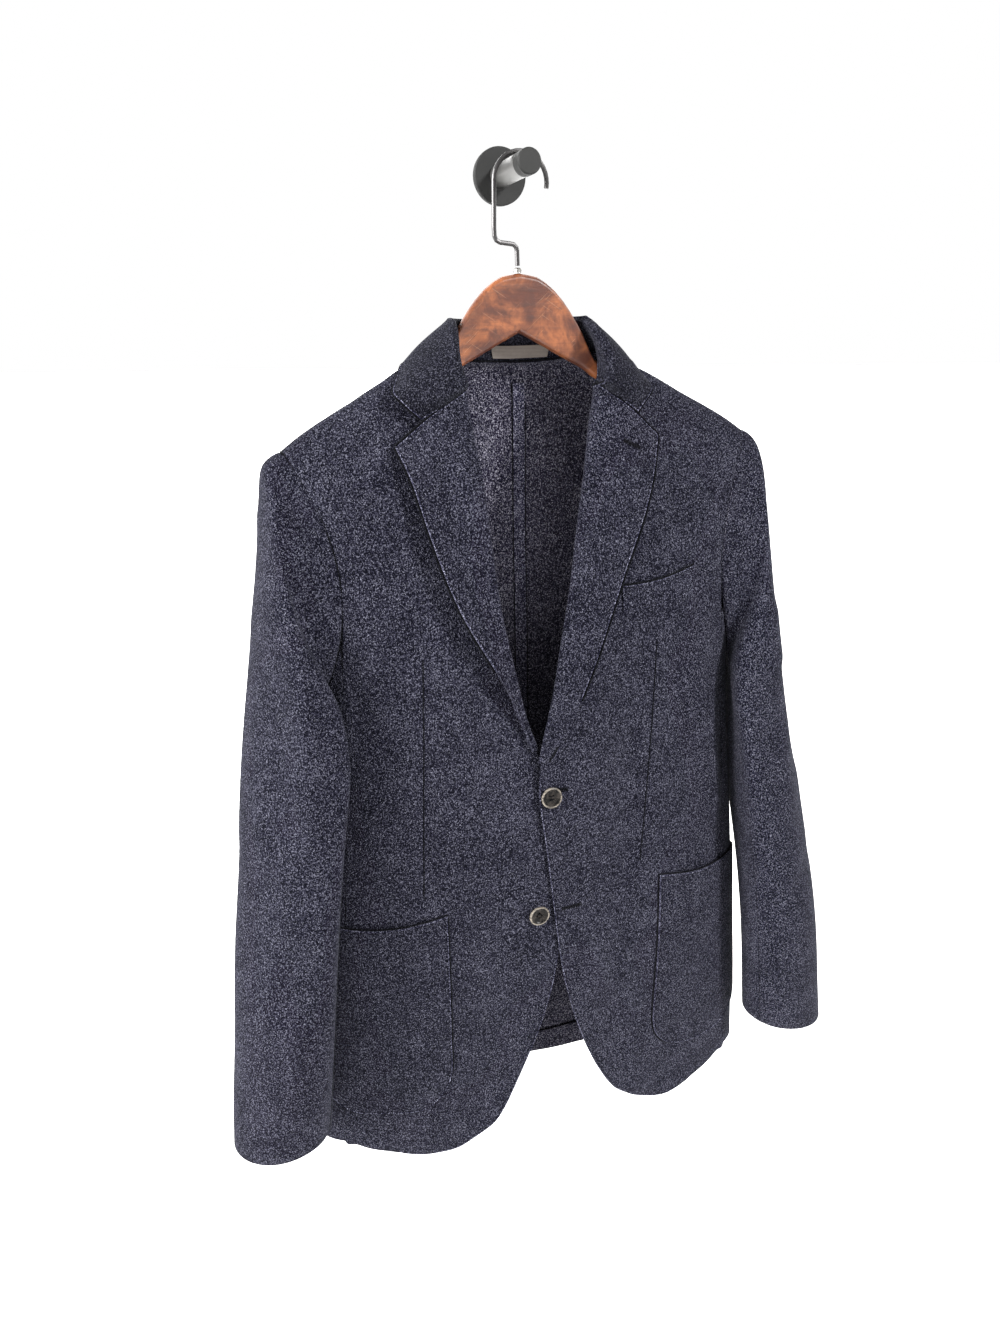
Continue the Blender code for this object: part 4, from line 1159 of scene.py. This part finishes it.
# %% Buttons
for node in ("button_top", "button_low"):
    button = nodes[node]
    corners = [Vector(corner) for corner in button.bound_box]
    centre = sum(corners, Vector()) / 8
    button.data.materials.clear()
    button.data.materials.append(horn(node + "_horn", tuple(centre)))
    spread = points_of(button.data) - np.array(centre)
    _, _, axes = np.linalg.svd(spread - spread.mean(axis=0), full_matrices=False)
    out = Vector(axes[2]) * (-1 if axes[2][1] > 0 else 1)
    across = Vector((1, 0, 0)) - out * out.x
    across.normalize()
    up = across.cross(out)
    bars = []
    for height in (-0.0016, 0.0016):
        middle = centre + out * 0.0011 + up * height
        bars.append([middle + across * step + out * (0.0004 if abs(step) < 0.001 else -0.0006)
                     for step in (-0.0020, -0.0008, 0.0008, 0.0020)])
    cord(node + "_thread", bars, 0.0004)
    print(node, "at", tuple(round(c, 4) for c in centre))

# %% [markdown]
# ## The hanger's wood
# The hanger is sawn from a board, rounded over and stained: reddish brown and mottled, with a
# satin varnish that many jackets have scratched. Noise at three sizes mottles the stain, and
# very long, thin noise, turned two ways, gives the scratches.

# %% Stained wood
wood = Finish("stained wood", Roughness=0.38, Coat_Weight=0.03, Coat_Roughness=0.3)
wood.shader.inputs["Specular IOR Level"].default_value = 0.25
blotches = wood.noise(26, 4.0, 0.62, warp=0.8)
fine_blotches = wood.noise(95, 3.0, 0.6, wood.stretched(1.0, 1.0, 0.7), warp=0.6)
grain = wood.noise(210, 4.0, 0.65, wood.stretched(0.10, 0.6, 1.0), warp=0.3)


def drawn_out(finish, turn):
    """Object coordinates turned about Y, then drawn out along X."""
    turned = finish.node("ShaderNodeMapping", {}, {
        "Vector": finish.place, "Rotation": (0, turn, 0)})
    return finish.node("ShaderNodeMapping", {}, {"Vector": turned, "Scale": (0.035, 1, 1)})


scratches = wood.noise(900, 1.0, 0.4, drawn_out(wood, 0.75)).between(0.70, 0.76)
scratches_back = wood.noise(820, 1.0, 0.4, drawn_out(wood, -0.55)).between(0.73, 0.78)
stain = wood.mix(blotches.between(0.36, 0.66), (0.048, 0.014, 0.0075), (0.185, 0.060, 0.021))
stain = wood.mix(fine_blotches.between(0.50, 0.72) * 0.55, stain, (0.030, 0.011, 0.008))
stain = wood.mix(grain.between(0.45, 0.70) * 0.30, stain, (0.018, 0.007, 0.005))
worn = wood.mix((scratches + scratches_back) * 0.24, stain, (0.34, 0.19, 0.12))
WOOD = wood.give(
    Base_Color=worn,
    Roughness=0.30 + grain * 0.22 + scratches * 0.2,
    Normal=wood.bump(grain + fine_blotches * 0.5 - scratches * 0.6, 0.00025),
)
print("the wood carries two sets of scratches")

# %% [markdown]
# ## Hook, ferrule and wall peg
# The hook is dark wire, held in a small nickel ferrule. The wall hook is a matt black plate
# with a turned steel peg and a black cap. Their shapes are in the frame, and each gets a finish
# with fine grit and slow wear in it.

# %% Fittings
def metal(name, dark, light, metallic, rough, scale, depth):
    """A metal or painted surface with fine mottling and a slow stain."""
    finish = Finish(name, Metallic=metallic)
    if not metallic:
        finish.shader.inputs["Specular IOR Level"].default_value = 0.15
    grit = finish.noise(scale, 3.0, 0.6)
    wear = finish.noise(45, 4.0, 0.6)
    tone = finish.mix(grit * 0.55 + wear * 0.45, dark, light)
    return finish.give(
        Base_Color=tone,
        Roughness=rough + (grit * 0.5 + wear * 0.5 - 0.5) * 0.25,
        Normal=finish.bump(grit, depth),
    )


METALS = {
    # name, dark, light, metallic, roughness, grit to a metre, depth of the grit
    "hanger_hook": ("dark wire", (0.022, 0.021, 0.022), (0.060, 0.058, 0.057),
                    0.85, 0.36, 500, 0.00001),
    "hanger_ferrule": ("nickel", (0.20, 0.195, 0.185), (0.36, 0.35, 0.33),
                       1.0, 0.28, 1200, 0.00005),
    "wall_plate": ("black plate", (0.006, 0.006, 0.006), (0.016, 0.016, 0.0155),
                   0.0, 0.62, 1400, 0.0001),
    "peg": ("turned steel", (0.10, 0.10, 0.098), (0.24, 0.235, 0.225),
            1.0, 0.40, 700, 0.00001),
    "peg_cap": ("black cap", (0.007, 0.007, 0.007), (0.018, 0.018, 0.017),
                0.0, 0.58, 1400, 0.0001),
}
FITTINGS = {"hanger_wood": WOOD}
for node, look in METALS.items():
    FITTINGS[node] = metal(*look)
for node, finish in FITTINGS.items():
    nodes[node].data.materials.clear()
    nodes[node].data.materials.append(finish)
print("finished", ", ".join(FITTINGS))

# %% [markdown]
# ## The bright room
# The jacket hangs in a room with white walls. The sky round it is white on the wall's side and
# dimmer on the room's side, so that creases stay dark.

# %% Room
world = bpy.data.worlds.new("white room")
bpy.context.scene.world = world
world.use_nodes = True
room = world.node_tree
directions = room.nodes.new("ShaderNodeTexCoord")
parts = room.nodes.new("ShaderNodeSeparateXYZ")
towards_wall = room.nodes.new("ShaderNodeMapRange")
towards_wall.inputs["From Min"].default_value = -0.90
towards_wall.inputs["From Max"].default_value = 0.30
towards_wall.inputs["To Min"].default_value = 0.64
towards_wall.inputs["To Max"].default_value = 1.0
room.links.new(directions.outputs["Generated"], parts.inputs[0])
room.links.new(parts.outputs["Y"], towards_wall.inputs["Value"])
room.links.new(towards_wall.outputs[0], room.nodes["Background"].inputs["Strength"])
room.nodes["Background"].inputs["Color"].default_value = (1, 1, 1, 1)
bpy.context.scene.view_settings.view_transform = "Standard"
print("room strength from", towards_wall.inputs["To Min"].default_value)

# %% [markdown]
# ## Lamps
# A wide window at the near side lights the near sleeve, a harder light from the upper far side
# gives the lapels their shadows, and a weak one from the wall's side keeps the back readable. A
# small reflector, which the camera doesn't see, sends light up into the neck, where the bright
# wall would.

# %% Suns
SUNS = (
    # name, from, strength, softness in degrees
    ("window", (-1.00, -0.12, 0.27), 12.0, 30),
    ("sky light", (0.62, -0.90, 0.62), 6.6, 12),
    ("wall light", (0.30, 1.00, 0.35), 3.0, 60),
)
for name, place, strength, softness in SUNS:
    sun = bpy.data.lights.new(name, "SUN")
    sun.energy = strength
    sun.angle = math.radians(softness)
    holder = bpy.data.objects.new(name, sun)
    bpy.context.scene.collection.objects.link(holder)
    holder.location = place
    holder.rotation_euler = (-Vector(place)).to_track_quat("-Z", "Y").to_euler()
print(len(SUNS), "suns")

# %% [markdown]
# ## The reflector in the neck
# It is an area lamp on edge inside the jacket, and it faces the back's inner side.

# %% Reflector
deselect()
bpy.ops.object.light_add(type="AREA", location=(-0.02, -0.103, -0.28))
reflector = bpy.context.object
reflector.name = "reflector in the neck"
reflector.rotation_euler = (math.radians(90), 0, 0)
reflector.data.shape = "RECTANGLE"
reflector.data.size = 0.07
reflector.data.size_y = 0.20
reflector.data.energy = 0.22
reflector.visible_camera = False
print("reflector at", tuple(round(c, 3) for c in reflector.location))

# %% [markdown]
# ## The floor
# A pale painted floor, large enough that its edge is never seen, and far enough below the hem
# to take no shadow from it.

# %% Floor
FLOOR_AT = -1.45
paint = Finish("floor paint", Roughness=0.9)
paint.give(Base_Color=paint.mix(paint.noise(3.0, 3.0), (0.90, 0.90, 0.90), (0.95, 0.95, 0.95)))
deselect()
bpy.ops.mesh.primitive_grid_add(
    x_subdivisions=4, y_subdivisions=4, size=300, location=(0, 0, FLOOR_AT))
floor = bpy.context.object
floor.name = "floor"
floor.data.materials.append(paint.material)
print("floor at", floor.location.z)
